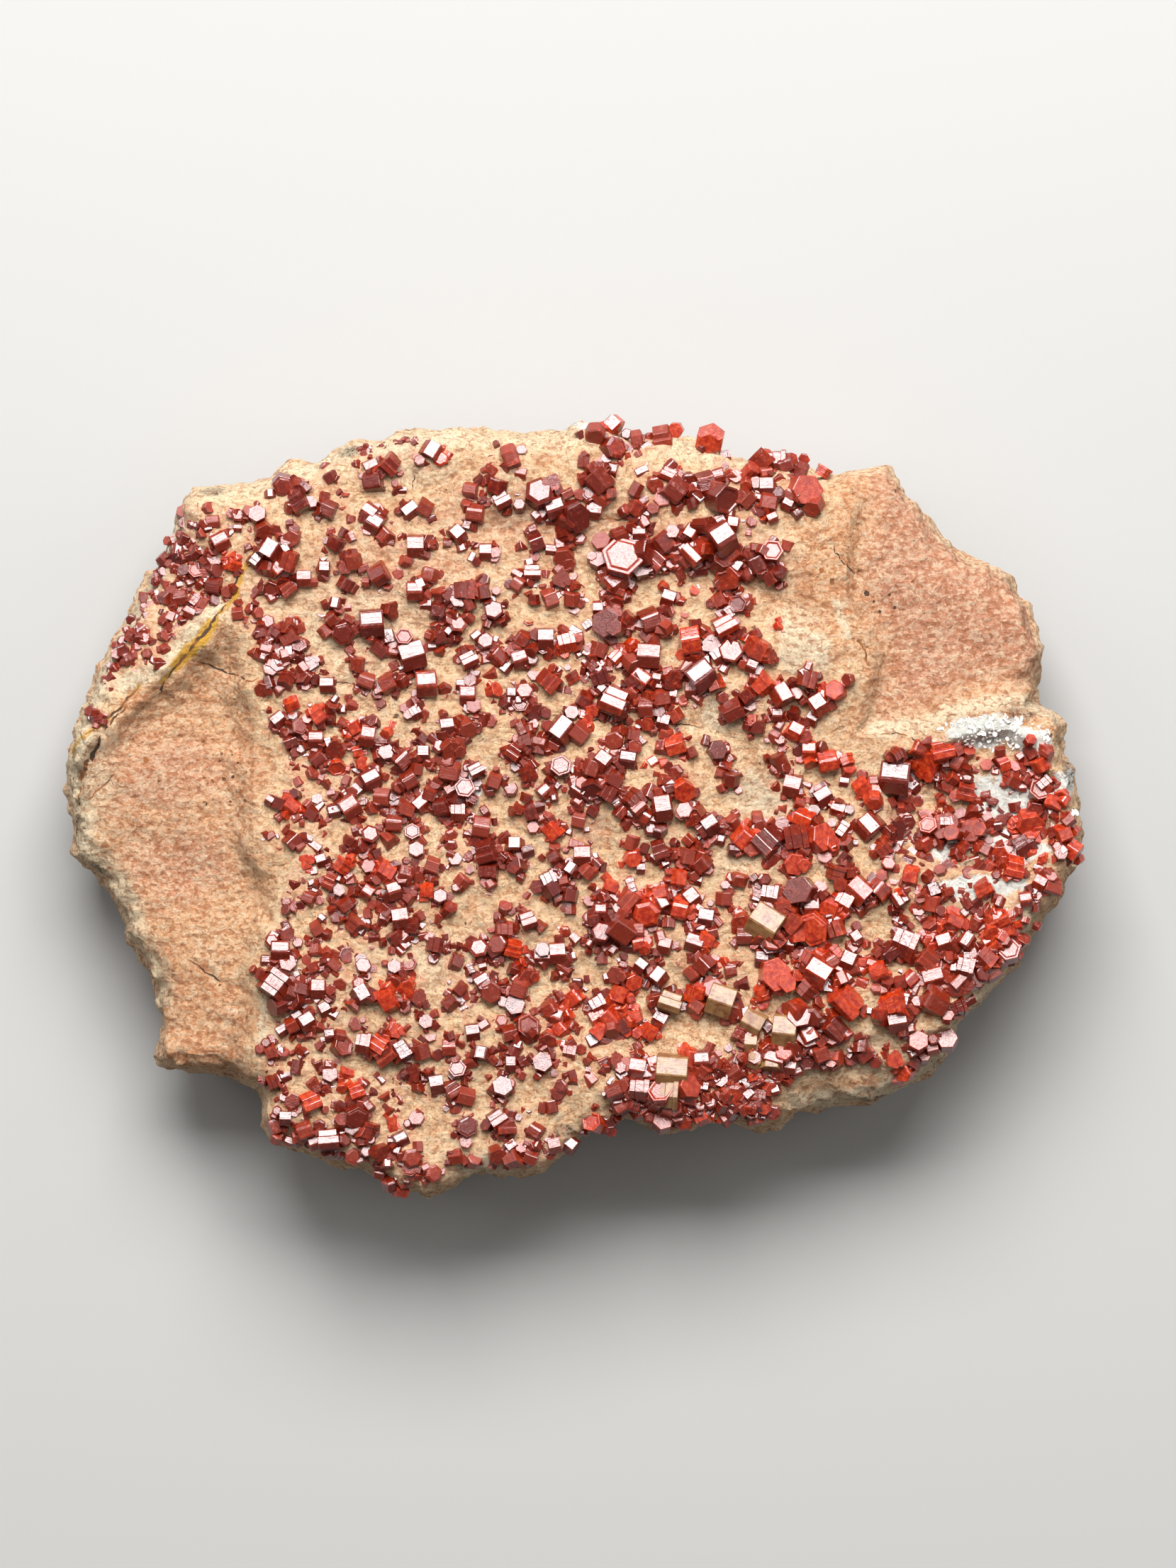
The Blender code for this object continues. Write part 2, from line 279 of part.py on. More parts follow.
def relief(x, y):
    """Height of the slab's face above the resting flat, in millimetres."""
    x, y = np.asarray(x, float), np.asarray(y, float)
    height = FACE_HEIGHT + 0.6 * np.sin(x / 13 + 1.1) * np.cos(y / 9 - 0.6)
    height += 0.35 * np.sin(y / 3.4 + x / 11)
    for polygon, depth, wall, slope, deepest in SUNK:
        inside = np.maximum(edge_distance(x, y, polygon), 0)
        height = height - np.minimum(depth * eased(inside / wall) + slope * inside, deepest)
    for cx, cy, rx, ry, rise in MOUNDS:
        height = height + rise * np.exp(-(((x - cx) / rx) ** 2) - ((y - cy) / ry) ** 2)
    rim = np.clip(1 - np.maximum(edge_distance(x, y, OUTLINE), 0) / RIM_WIDTH, 0, 1)
    return height - RIM_DROP * rim**2


def face_points():
    """Points of the face: a shaken hexagonal grid, with rows along the crest and the foot of each step."""
    shake = stream(0)
    points = []
    row_spacing = FACE_SPACING * 0.866
    columns, rows = int(FACE_REACH[0] / FACE_SPACING), int(FACE_REACH[1] / row_spacing)
    for row in range(-rows, rows + 1):
        for column in range(-columns, columns + 1):
            x = (column + 0.5 * (row % 2)) * FACE_SPACING + shake.uniform(-FACE_SHAKE, FACE_SHAKE)
            y = row * row_spacing + shake.uniform(-FACE_SHAKE, FACE_SHAKE)
            points.append((x, y))
    for polygon, _, wall, _, _ in SUNK:
        for (ax, ay), (bx, by) in zip(polygon, polygon[1:] + polygon[:1]):
            length = math.hypot(bx - ax, by - ay)
            inward = (-(by - ay) / length, (bx - ax) / length)
            if edge_distance((ax + bx) / 2 + inward[0], (ay + by) / 2 + inward[1], polygon) < 0:
                inward = (-inward[0], -inward[1])
            for share in (0.25, 0.75) if length > 5 else (0.5,):
                x, y = ax + (bx - ax) * share, ay + (by - ay) * share
                points += [(x, y), (x + inward[0] * wall, y + inward[1] * wall)]
    top_edge = [(x * TOP_EDGE_SCALE, y * TOP_EDGE_SCALE) for x, y in OUTLINE]
    kept = []
    for x, y in points:
        clear = edge_distance(x, y, top_edge) > EDGE_SPACING
        if clear and all(math.hypot(x - a, y - b) > LEAST_SPACING for a, b in kept):
            kept.append((x, y))
    return top_edge, kept


def wall_swing(bearing, share):
    """How the broken side bellies in and out around the slab, from -1 to 1."""
    return 0.6 * math.sin(3 * bearing + 0.7 + 5 * share) + 0.4 * math.sin(8 * bearing + 2 + 9 * share)


def rock_mesh(name, swell=0.0):
    """The slab as a closed mesh. swell grows it by that many millimetres all round."""
    top_edge, inner = face_points()
    corners = [Vector(p) for p in top_edge + inner]
    loop = list(range(len(top_edge)))
    flat = geometry.delaunay_2d_cdt(corners, [], [loop], 1, 1e-5)
    planar, faces = flat[0], flat[2]
    rise = relief([p.x for p in planar], [p.y for p in planar])
    mesh = bmesh.new()

    def grown(x, y, z):
        share = 1 + SWELL_OUT * swell / math.hypot(x, y)
        return mesh.verts.new((x * share * MM, y * share * MM, z * MM))

    face = []
    for index, (p, z) in enumerate(zip(planar, rise)):
        lifted = z + SWELL_UP * swell
        if index < len(top_edge):
            face.append(grown(p.x, p.y, lifted))
        else:
            face.append(mesh.verts.new((p.x * MM, p.y * MM, lifted * MM)))
    for corners_of in faces:
        mesh.faces.new([face[i] for i in corners_of])
    shake = stream(1)
    rings = [face[: len(top_edge)]]
    for scale, share in ((1, WIDEST_SHARE), (LOW_EDGE_SCALE, LOW_SHARE), (BASE_SCALE, 0)):
        ring = []
        for (x, y), (tx, ty) in zip(OUTLINE, top_edge):
            swing = wall_swing(math.atan2(y, x), share)
            pull, height = scale, -swell
            if scale < 1:
                pull -= SIDE_SWING * swing + shake.uniform(0, BASE_SHAKE)
            if share:
                height = float(relief(tx, ty)) * (share + RING_SWING * swing)
                height += shake.uniform(-RING_SHAKE, RING_SHAKE)
            ring.append(grown(x * pull, y * pull, height))
        rings.append(ring)
    for upper, lower in zip(rings, rings[1:]):
        for i in range(len(upper)):
            j = (i + 1) % len(upper)
            mesh.faces.new((upper[i], lower[i], lower[j], upper[j]))
    mesh.faces.new(rings[-1][::-1])
    bmesh.ops.triangulate(mesh, faces=[f for f in mesh.faces if len(f.verts) == 4])
    bmesh.ops.recalc_face_normals(mesh, faces=mesh.faces)
    data = bpy.data.meshes.new(name)
    mesh.to_mesh(data)
    mesh.free()
    return data


def leaning(tilt, towards):
    """Unit vector that leans from +Z by tilt degrees towards that direction."""
    tilt, towards = math.radians(tilt), math.radians(towards)
    level = math.sin(tilt)
    return Vector((level * math.cos(towards), level * math.sin(towards), math.cos(tilt)))


class Crystal:
    """A hexagonal prism: its middle, its axes and its twelve corners, in millimetres."""

    def __init__(self, face_at, out, along, width, length, cap_out):
        side = along.cross(out).normalized()
        self.width = width
        if cap_out:
            axis, across = out, along
            depth = length / 2
        else:
            axis, across = along, side
            depth = width * math.sqrt(3) / 4
        up = axis.cross(across).normalized()
        self.middle = face_at - out * depth
        self.axis = axis
        turns = [math.radians(60 * k) for k in range(6)]
        ring = [across * (math.cos(t) * width / 2) + up * (math.sin(t) * width / 2) for t in turns]
        self.corners = [self.middle + r + axis * (end * length / 2) for end in (-1, 1) for r in ring]
        self.reach = math.hypot(width, length) / 2
        self.sides = [(ring[k] + ring[(k + 1) % 6]).normalized() for k in range(3)]
        self.edges = [(ring[(k + 1) % 6] - ring[k]).normalized() for k in range(3)] + [axis]

    def gap_to(self, other):
        """Separation of two prisms along the axis that parts them best; negative where they overlap."""
        if (self.middle - other.middle).length > self.reach + other.reach + 1:
            return 1.0
        tests = self.sides + [self.axis] + other.sides + [other.axis]
        tests += [a.cross(b) for a in self.edges for b in other.edges]
        best = -1e9
        for test in tests:
            if test.length < 1e-4:
                continue
            test = test.normalized()
            mine = [c.dot(test) for c in self.corners]
            theirs = [c.dot(test) for c in other.corners]
            best = max(best, min(theirs) - max(mine), min(mine) - max(theirs))
        return best

    def object(self, name, material):
        data = bpy.data.meshes.new(name)
        sides = [(k, (k + 1) % 6, (k + 1) % 6 + 6, k + 6) for k in range(6)]
        ends = [(5, 4, 3, 2, 1, 0), (6, 7, 8, 9, 10, 11)]
        data.from_pydata([c * MM for c in self.corners], [], sides + ends)
        made = bpy.data.objects.new(name, data)
        data.materials.append(material)
        mesh = bmesh.new()
        mesh.from_mesh(data)
        bmesh.ops.recalc_face_normals(mesh, faces=mesh.faces)
        mesh.to_mesh(data)
        mesh.free()
        return made


def placed_crystals():
    """Every crystal of the lists, the widest first, each set on the face or on the crystals under it."""
    bright = BRIGHT_SIDES + BROWN_SIDES
    rows = [(x, y, face * FACE_TO_WIDTH, turn, "bright side") for x, y, face, turn in bright]
    rows += [(x, y, width, 0, "bright cap") for x, y, width in BRIGHT_CAPS]
    rows += [(x, y, width, 0, "cap") for x, y, width in CAPS]
    rows += [(x, y, width, turn, "side") for x, y, width, turn in SIDES]
    order = sorted(range(len(rows)), key=lambda i: -rows[i][2])
    ground = relief([r[0] for r in rows], [r[1] for r in rows])
    tops, made = [], []
    for i in order:
        x, y, width, turn, pose = rows[i]
        dice = stream(i + 10)
        if pose.startswith("bright"):
            tilt = BRIGHT_TILT + dice.uniform(-TILT_SPREAD, TILT_SPREAD)
            out = leaning(tilt, 90 + dice.uniform(-BEARING_SPREAD, BEARING_SPREAD))
        elif pose == "cap":
            out = leaning(dice.uniform(14, 38), dice.uniform(150, 390))
        else:
            out = leaning(dice.uniform(8, 26), dice.uniform(160, 380))
        if "cap" in pose:
            turn = dice.uniform(0, 60)
        along = Vector((math.cos(math.radians(turn)), math.sin(math.radians(turn)), 0))
        along = (along - out * along.dot(out)).normalized()
        length = width * (dice.uniform(0.62, 0.8) if "cap" in pose else dice.uniform(0.6, 0.85))
        alone = float(ground[i]) + (CAP_STANDS if "cap" in pose else SIDE_STANDS) * width
        height = alone
        for tx, ty, reach, top in tops:
            if math.hypot(x - tx, y - ty) < reach:
                height = max(height, top + STEP_UP * width)
        height = min(height, alone + HIGHEST_LIFT)
        tops.append((x, y, UNDER_REACH * width, height))
        made.append(Crystal(Vector((x, y, height)), out, along, width, length, "cap" in pose))
    return made


def linked(crystals, limit):
    """Splits crystals into groups whose members reach one another over gaps under limit."""
    groups = []
    for crystal in crystals:
        joined = [g for g in groups if any(crystal.gap_to(other) < limit for other in g)]
        groups = [g for g in groups if g not in joined] + [[c for g in joined for c in g] + [crystal]]
    return groups


def parted(crystals):
    """Splits the crystals into groups that are pieces of their own and crystals that are part of the rock.

    A piece of its own is one body, stands clear of every other crystal and is away from the broken rim.
    """
    groups = linked(crystals, SOCKET_GAP)
    groups.sort(key=lambda g: -max(c.width for c in g) - 0.05 * len(g))
    free = [g for g in groups if all(on_face(c) for c in g) and len(linked(g, -LEAST_OVERLAP)) == 1]
    apart = free[:SEPARATE_NODES]
    return apart, [c for g in groups if g not in apart for c in g]


def on_face(crystal):
    """Whether a crystal stands on the face, well clear of the broken rim."""
    return float(edge_distance(crystal.middle.x, crystal.middle.y, OUTLINE)) > RIM_WIDTH


def hidden(objects):
    """A collection of helpers that stays out of the build."""
    helpers = bpy.data.collections.new("helpers")
    bpy.context.scene.collection.children.link(helpers)
    for made in objects:
        made.hide_render = True
        made.display_type = "WIRE"
        helpers.objects.link(made)
    return helpers


def combined(base, operation, helpers):
    """The mesh of base after a Boolean with every object of a collection."""
    modifier = base.modifiers.new("join", "BOOLEAN")
    modifier.operation = operation
    modifier.operand_type = "COLLECTION"
    modifier.collection = helpers
    modifier.solver = "EXACT"
    bpy.context.view_layer.update()
    mesh = bpy.data.meshes.new_from_object(base.evaluated_get(bpy.context.evaluated_depsgraph_get()))
    base.modifiers.remove(modifier)
    return mesh


def islands(mesh):
    """The mesh's separate shells, the largest first, as (volume, mesh)."""
    whole = bmesh.new()
    whole.from_mesh(mesh)
    found, seen = [], set()
    for start in whole.verts:
        if start in seen:
            continue
        shell, waiting = {start}, [start]
        while waiting:
            for edge in waiting.pop().link_edges:
                for vertex in edge.verts:
                    if vertex not in shell:
                        shell.add(vertex)
                        waiting.append(vertex)
        seen |= shell
        single = whole.copy()
        single.verts.ensure_lookup_table()
        keep = {v.index for v in shell}
        bmesh.ops.delete(single, geom=[v for v in single.verts if v.index not in keep], context="VERTS")
        data = bpy.data.meshes.new("shell")
        volume = single.calc_volume(signed=True)
        single.to_mesh(data)
        single.free()
        found.append((volume, data))
    whole.free()
    return sorted(found, key=lambda item: -item[0])


def single_shell(mesh):
    """The outer shell of a mesh, which fills the pockets sealed between its crystals.

    A second outer shell would be a crystal that floats clear of the rest, so it stops the build.
    """
    shells = islands(mesh)
    floating = [round(volume / MM**3, 3) for volume, _ in shells[1:] if volume > 0]
    if floating:
        raise RuntimeError(f"pieces of {floating} cubic millimetres float clear of the rest")
    return shells[0]


def material(name, colour, roughness):
    made = bpy.data.materials.new(name)
    made.use_nodes = True
    shader = made.node_tree.nodes["Principled BSDF"]
    shader.inputs["Base Color"].default_value = (*colour, 1)
    shader.inputs["Roughness"].default_value = roughness
    shader.inputs["Metallic"].default_value = 0
    return made


def build():
    for old in list(bpy.data.objects):
        bpy.data.objects.remove(old, do_unlink=True)
    sandstone = material("sandstone", (0.73, 0.40, 0.24), 0.9)
    vanadinite = material("vanadinite", (0.36, 0.035, 0.02), 0.2)
    rock = bpy.data.objects.new("sandstone_matrix", rock_mesh("sandstone_matrix"))
    rock.data.materials.append(sandstone)
    bpy.context.scene.collection.objects.link(rock)

    apart, fused = parted([c for c in placed_crystals() if c.width >= SMALLEST_IN_SOLIDS])

    swollen = bpy.data.objects.new("swollen_rock", rock_mesh("swollen_rock", SOCKET_GAP))
    cutter = hidden([swollen])
    pieces = []
    for group in apart:
        first, *rest = [c.object("crystal", vanadinite) for c in group]
        bpy.context.scene.collection.objects.link(first)
        helpers = hidden(rest)
        if rest:
            first.data = combined(first, "UNION", helpers)
        cut = single_shell(combined(first, "DIFFERENCE", cutter))
        pieces.append((*cut, len(group)))
        for helper in [first, *rest]:
            bpy.data.objects.remove(helper)
        bpy.data.collections.remove(helpers)
    pieces.sort(key=lambda piece: -piece[0])
    for number, (_, shell, count) in enumerate(pieces, 1):
        kind = "crystal" if count == 1 else "crystal_cluster"
        made = bpy.data.objects.new(f"vanadinite_{kind}_{number:02d}", shell)
        made.data.materials.clear()
        made.data.materials.append(vanadinite)
        bpy.context.scene.collection.objects.link(made)
    bpy.data.objects.remove(swollen)

    grown_on = [c.object("grown_on", vanadinite) for c in fused]
    helpers = hidden(grown_on)
    rock.data = single_shell(combined(rock, "UNION", helpers))[1]
    for helper in grown_on:
        bpy.data.objects.remove(helper)
    bpy.data.collections.remove(helpers)
    bpy.data.collections.remove(cutter)


build()
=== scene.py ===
"""The finish of a slab of sandstone whose face carries red vanadinite crystals.

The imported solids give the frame. This script makes the grainy rock, every crystal down to the small
ones, their materials, the floor, the lights and the camera. Sizes are millimetres, scaled by MM, in the
solids' own frame.
"""

import math
import random

import bpy
import numpy as np
from mathutils import Matrix, Vector, bvhtree, kdtree, noise

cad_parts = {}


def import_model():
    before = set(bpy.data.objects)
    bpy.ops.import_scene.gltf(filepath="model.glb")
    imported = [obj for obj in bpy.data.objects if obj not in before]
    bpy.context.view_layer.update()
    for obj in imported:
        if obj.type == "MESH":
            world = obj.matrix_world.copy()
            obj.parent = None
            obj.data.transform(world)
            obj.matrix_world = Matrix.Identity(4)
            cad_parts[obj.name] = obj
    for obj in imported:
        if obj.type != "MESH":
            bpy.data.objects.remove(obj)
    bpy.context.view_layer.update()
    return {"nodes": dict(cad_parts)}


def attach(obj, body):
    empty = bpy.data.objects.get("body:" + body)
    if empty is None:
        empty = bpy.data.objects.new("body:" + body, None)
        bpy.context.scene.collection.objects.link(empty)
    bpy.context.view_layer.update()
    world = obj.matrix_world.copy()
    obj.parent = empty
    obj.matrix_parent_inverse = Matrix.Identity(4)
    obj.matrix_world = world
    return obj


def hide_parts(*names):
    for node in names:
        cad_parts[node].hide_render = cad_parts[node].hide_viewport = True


MM = 0.001
FACE_HEIGHT = 25.0
RIM_WIDTH = 5.0
RIM_DROP = 3.2
TOP_EDGE_SCALE = 0.975
LOW_EDGE_SCALE = 0.955
BASE_SCALE = 0.84
WIDEST_SHARE = 0.62
LOW_SHARE = 0.20
SIDE_SWING = 0.02
SEED = 762
ROCK_VOXEL = 0.6
ROCK_TRIANGLES = 190000
SOCKET_RISE = 0.55  # how far the rock rises around a crystal
STEP_STRAY = 1.3  # how far the steps of the face wander sideways
WIDEST_BRIDGE = 1.9  # the widest gap between large crystals that small ones fill
SIDE_TO_WIDTH = 1.9  # width across a prism against the width of its side face, as in the solids
FACING_SHARE = 0.17  # share of the small crystals that face the light as the bright ones do
PLAIN_BELOW = 2.4  # width under which crystals have only the plainer habits
CLEAR_REACH = 1.6  # how far from a listed place a crystal still counts as clear
RIM_CLEARANCE = 1.2  # how far the crusts keep from the outline
BESIDE_CLEARANCE = 1.6  # how far small crystals beside a large one keep from the outline
FLAT_SHARE = 0.012  # share of the slab's height under which its base stays flat
FACE_SHARE = 0.9  # share of the slab's height above which a point belongs to its face
CRACK_STEP = 0.35
PIT_SIDES = 6
BLADE_DEPTH = 0.7  # how deep a barite blade is against its width

# Where each kind of thing starts in the numbered streams of random draws
LARGE_DRAWS = 10
LISTED_DRAWS = 2000
BESIDE_LISTED_DRAWS = 3000
BESIDE_LARGE_DRAWS = 4000
CROWDED_DRAWS = 6000
PIT_DRAWS = 7000
CRUST_DRAWS = 9000
BARITE_DRAWS = 12000

# The outline seen from above, anticlockwise from the right-hand tip
OUTLINE = [
    (74.6, -2), (73.8, 2), (73, 5.5), (71.8, 7.5), (71.2, 9.5), (72.3, 11.8), (71.2, 13.6), (67.4, 15.3),
    (68.4, 19), (69, 23), (68.3, 26.3), (66.8, 30), (63.8, 34.4), (60.8, 35.9), (58.4, 36.2), (54.6, 39.8),
    (52, 43), (49.3, 46), (46, 50.4), (43, 50), (39, 49.4), (36, 49), (33, 50.3), (28, 50.8), (23, 51.5),
    (19.5, 53.8), (15, 54.8), (8, 54.6), (3.4, 56.6), (0.4, 56.8), (-1.4, 55.4), (-8, 55), (-14, 55.6),
    (-16.6, 56.1), (-20, 55.5), (-24.4, 55.7), (-28, 54.2), (-32, 54.2), (-35.6, 52.9), (-38, 51),
    (-42.4, 51), (-45.4, 48.2), (-50, 47.8), (-55.8, 47.2), (-58.4, 44.8), (-59.6, 41), (-62.2, 35.6),
    (-65.6, 30), (-67.3, 26.4), (-70.4, 21), (-72.2, 15.4), (-74.2, 10.6), (-75.4, 2), (-74, -2.6),
    (-74.7, -6.8), (-70.6, -9.6), (-67.6, -14.4), (-66, -19.6), (-62.8, -26), (-61.2, -32), (-61.8, -37),
    (-59.8, -38.7), (-51, -39.6), (-46.4, -41.8), (-46.2, -46.4), (-45, -49.6), (-38, -51.4),
    (-30.6, -53.4), (-28.4, -55.4), (-22, -57.3), (-18.4, -56), (-15.4, -53.8), (-8, -54.4), (-5, -54),
    (-1.6, -50.6), (0.4, -48), (7, -45.4), (10.6, -46.8), (14.6, -48.4), (18.6, -46.8), (22, -46.2),
    (27.4, -47.6), (29.8, -47.2), (32.6, -45.1), (38, -44.2), (43.6, -43.6), (48, -41.4), (53.4, -38.8),
    (54.8, -35.4), (56.4, -31.6), (59.4, -29), (62.6, -25.6), (66, -21), (68.8, -16.8), (71.8, -12.8),
    (73.6, -8.4),
]

# Steps and hollows of the face: a polygon sinks to its depth over its wall width, and tilts by its slope
# beyond
LEFT_SHELF = [
    (-51, 30), (-48.5, 24), (-46.5, 14), (-47.2, 6), (-47, -1.5), (-46, -6), (-44, -11.5), (-43.4, -15),
    (-45, -22.5), (-46, -27), (-46.6, -33), (-46.8, -41), (-50, -80), (-100, -80), (-100, 4), (-74, 8.5),
    (-70, 11), (-65, 15.5), (-60.5, 18.5), (-57, 22.5), (-53.5, 25.5),
]
UPPER_LEFT_SLOPE = [
    (-74.5, 8.5), (-70, 11), (-65, 15.5), (-60.5, 18.5), (-57, 22.5), (-53.5, 25.5), (-51, 30), (-50.5, 35),
    (-54, 41), (-57, 50), (-80, 80), (-110, 60), (-110, 10),
]
RIGHT_SHELF = [
    (40, 10.2), (49, 10.6), (54, 13), (60, 15), (67.5, 15.4), (100, 12), (100, 80), (42, 80), (39.5, 50),
    (40.5, 42), (38.5, 36), (40, 29), (43, 22), (41.5, 15),
]
LOWER_RIGHT_SLOPE = [
    (27, -41), (33, -37), (40, -33.5), (48, -32), (56, -31.5), (64, -29), (95, -60), (20, -80),
]
CRYSTAL_HOLLOW = [
    (44, 3), (45.5, 8), (52, 9.8), (61, 12), (68, 9.5), (71.5, 4), (71.5, -4), (66.5, -9), (58, -10),
    (50, -9.5), (45, -7.5),
]
SUNK = [  # polygon, depth, wall width, slope beyond the wall, deepest
    (LEFT_SHELF, 2.7, 4.5, 0.08, 6.0),
    (UPPER_LEFT_SLOPE, 0.4, 1.5, 0.24, 4.6),
    (RIGHT_SHELF, 1.7, 2.4, 0.085, 4.2),
    (LOWER_RIGHT_SLOPE, 0.3, 2.0, 0.22, 3.4),
    (CRYSTAL_HOLLOW, 2.6, 2.6, 0.05, 3.2),
]
MOUNDS = [  # x, y, reach in x, reach in y, height
    (33.5, 22.5, 7.0, 4.6, 1.6), (26.5, 0.5, 9.0, 6.0, -0.9), (-55, 26.5, 4.2, 3.2, 1.1),
    (29, -36, 9.0, 4.0, 1.0), (14, -40, 9.0, 4.0, 0.9), (33, -10, 10, 5.0, 1.0), (22, 42, 8.0, 7.0, 0.8),
]

# The crystals, in millimetres: place of the face that looks out, its size, and the way the prism's axis runs
BRIGHT_TILT = 20.0  # degrees by which the brightest faces lean towards +Y
BRIGHT_SIDES = [  # a side face turned out: x, y, width of that face, direction of the prism in degrees
    # upper left
    (-44.8, 38, 2.1, 60), (-29.3, 42, 1.9, -35), (-24.3, 43.8, 1.5, 40), (-21, 52.4, 1.8, 60),
    (-29.8, 27.6, 2.4, 5), (-24, 23.1, 2.5, 20), (-21.8, 18.8, 2.3, 5), (-23.4, 38.7, 1.9, 0),
    (-52, 39.4, 1.6, 30), (-43.6, 13.2, 1.3, 40), (-30, 50.2, 1.3, 30), (-36.7, 35.3, 1.4, 0),
    (-23.5, 32.2, 1.7, 0), (-39.7, 34, 1.5, 0), (-35.2, 30, 1.3, 80), (-36.4, 18.4, 1.3, 0),
    # upper right
    (-3.2, 44.3, 1.9, 20), (-13.2, 37.8, 1.5, 0), (21.3, 40, 3.0, 35), (16.7, 40.5, 1.6, 60),
    (17.5, 37.6, 2.0, -50), (-6.4, 34.8, 1.5, 0), (3.2, 29.4, 1.3, 0), (13.7, 49, 1.3, -25),
    (27.8, 47.4, 1.8, 0), (21.6, 27, 1.8, 30), (20.7, 22.7, 1.5, 35), (-17.3, 40.4, 1.7, 45),
    (3.1, 20.7, 1.3, -30), (-8.3, 22.2, 1.7, 20), (-4.4, 25.3, 1.8, 0), (-1.4, 24.7, 1.7, 15),
    (-15.8, 22, 1.5, 30), (5.3, 56.4, 1.9, -45), (-11, 45.3, 1.6, 30), (13.6, 31.1, 1.5, -20),
    (9.2, 40.6, 1.4, 0), (10.6, 23, 2.2, -5), (29.4, 51.2, 1.8, 0), (9.6, 19.3, 1.7, -40),
    (18, 20, 2.6, 40),
    # middle left
    (-30.3, 11.1, 1.9, -10), (-38, 10.5, 1.5, 0), (-22.3, 8.4, 1.5, 0), (-30, 4.7, 1.9, 30),
    (-35.3, -0.2, 1.4, 15), (-33.2, 0.6, 2.0, 35), (-37.3, -7.3, 1.2, 20), (-30.3, -12, 1.4, -35),
    (-26.6, -11.5, 1.8, 20), (-25.7, -15.5, 1.9, 10), (-23.5, 14.3, 1.3, 30), (-18.8, 12.4, 1.5, 10),
    (-17.2, -0.2, 1.5, 0), (-14.7, 5.8, 1.3, 30), (-22.8, 0.9, 1.5, 45),
    # middle
    (5.8, 16.3, 2.5, -25), (4, 7.4, 1.8, -40), (-4.7, 2.7, 1.3, 45), (0.5, 3, 1.5, -35),
    (12.8, 13, 1.4, -15), (16.8, 17.7, 1.4, 0), (-9.4, 17, 1.3, 0), (0.9, -6.4, 1.8, 0),
    (-4, -10.2, 1.7, 25), (-7.1, -16, 1.6, 20), (16.8, -12.7, 1.8, 40), (3.6, -14.6, 1.4, 0),
    (-15.8, 17, 1.7, 0), (12.6, 0.7, 2.4, 10), (-2.2, 11.9, 2.2, 55), (-9, -5, 1.7, 90),
    (7.6, 7.6, 1.7, -10), (19.4, -2, 1.7, 35), (-0.9, -8.6, 1.5, 60),
    # lower left
    (-43.1, -20.2, 1.8, 0), (-43.9, -25.3, 2.6, 55), (-37.6, -25.8, 1.7, 0), (-31.2, -26.8, 1.8, -60),
    (-36.7, -29, 1.3, 30), (-39.3, -30.7, 1.6, 35), (-36, -32.8, 1.3, 10), (-31, -33.8, 1.8, -10),
    (-25.3, -35.2, 1.8, -60), (-15.1, -32.3, 1.5, 10), (-13.9, -35.6, 1.6, 80), (-13.8, -24.9, 1.5, 35),
    (-36.2, -47.8, 1.9, 5), (-27.5, -51.7, 1.2, 90), (-25.6, -48, 1.3, 30), (-42.4, -44.9, 1.3, 0),
    (-38.3, -48.6, 1.3, 20), (-20.4, -39.8, 1.7, 10), (-11.6, -45.1, 1.7, 35),
    # lower middle
    (-2.7, -20.6, 1.9, 5), (-8.4, -24.9, 1.3, 40), (-3, -29.9, 1.6, -20), (3.1, -28.3, 1.6, 30),
    (-0.9, -35.3, 1.3, -10), (-9.5, -36.9, 1.4, 0), (9.6, -22.7, 1.4, -40), (18.3, -36.4, 1.8, 5),
    (-3.2, -48.9, 1.5, 15), (-1, -48.8, 1.5, -40), (-9.5, -49.1, 1.3, 40), (17.4, -19.2, 1.7, -20),
    (9, -37.4, 1.9, -10), (9.3, -40.5, 1.8, -5), (13, -19.6, 1.5, -15), (-4.9, -21.3, 1.5, 0),
    (11.9, -24.2, 1.7, 55),
    # lower right
    (33.9, -32.6, 2.0, -65), (31.3, -37.4, 1.3, -10), (39.2, -13.3, 1.8, -30), (40.9, -18.6, 1.4, 35),
    (48.2, -19, 2.4, -25), (39.8, -21.8, 1.9, -25), (47.5, -13, 1.5, -60), (41.5, -11.6, 2.2, -45),
    (53.6, -19.1, 1.7, 20), (47.8, -27.8, 1.3, 80), (31, -19.3, 1.6, -10), (52, -24.3, 1.9, 15),
    (56.9, -22.9, 2.1, -15), (67.8, -10.5, 1.3, -30), (65.6, -13, 1.3, 10), (61.5, -15.7, 1.3, 10),
    (52.2, -11.8, 1.5, -70), (35.5, -23.4, 2.4, -35), (28.3, -12.2, 1.9, -10), (19, -15.5, 1.8, -10),
    (46.8, -30.6, 1.9, 10), (57, -19, 1.6, 60),
    # right
    (36, 2.1, 1.6, 35), (38.3, 0.2, 1.3, -20), (34, 8.9, 1.6, 0), (32.2, 11.7, 1.5, -30),
    (29.4, 14, 1.3, 0), (30.3, 17, 1.9, -65), (46.6, 5.4, 3.0, -8), (31.6, 3.8, 2.0, -15),
    (42.8, -2.2, 2.4, -50), (54.3, -1.9, 1.3, 0), (35.2, 15.6, 2.0, 35),
]
BROWN_SIDES = [  # the same, on the prisms that a brown skin coats
    (27.9, -15.9, 3.2, -35), (30.4, -31.6, 3.0, -8), (25.9, -30.9, 2.1, -30), (28.6, -36.3, 2.0, 85),
    (14, -37.6, 2.9, -5), (13.6, -41, 2.3, -5), (21.4, -27.2, 2.8, -20), (13.9, -27.8, 1.9, -20),
    (25.5, -33.8, 1.6, -5), (26.2, -36.4, 1.5, -20),
]
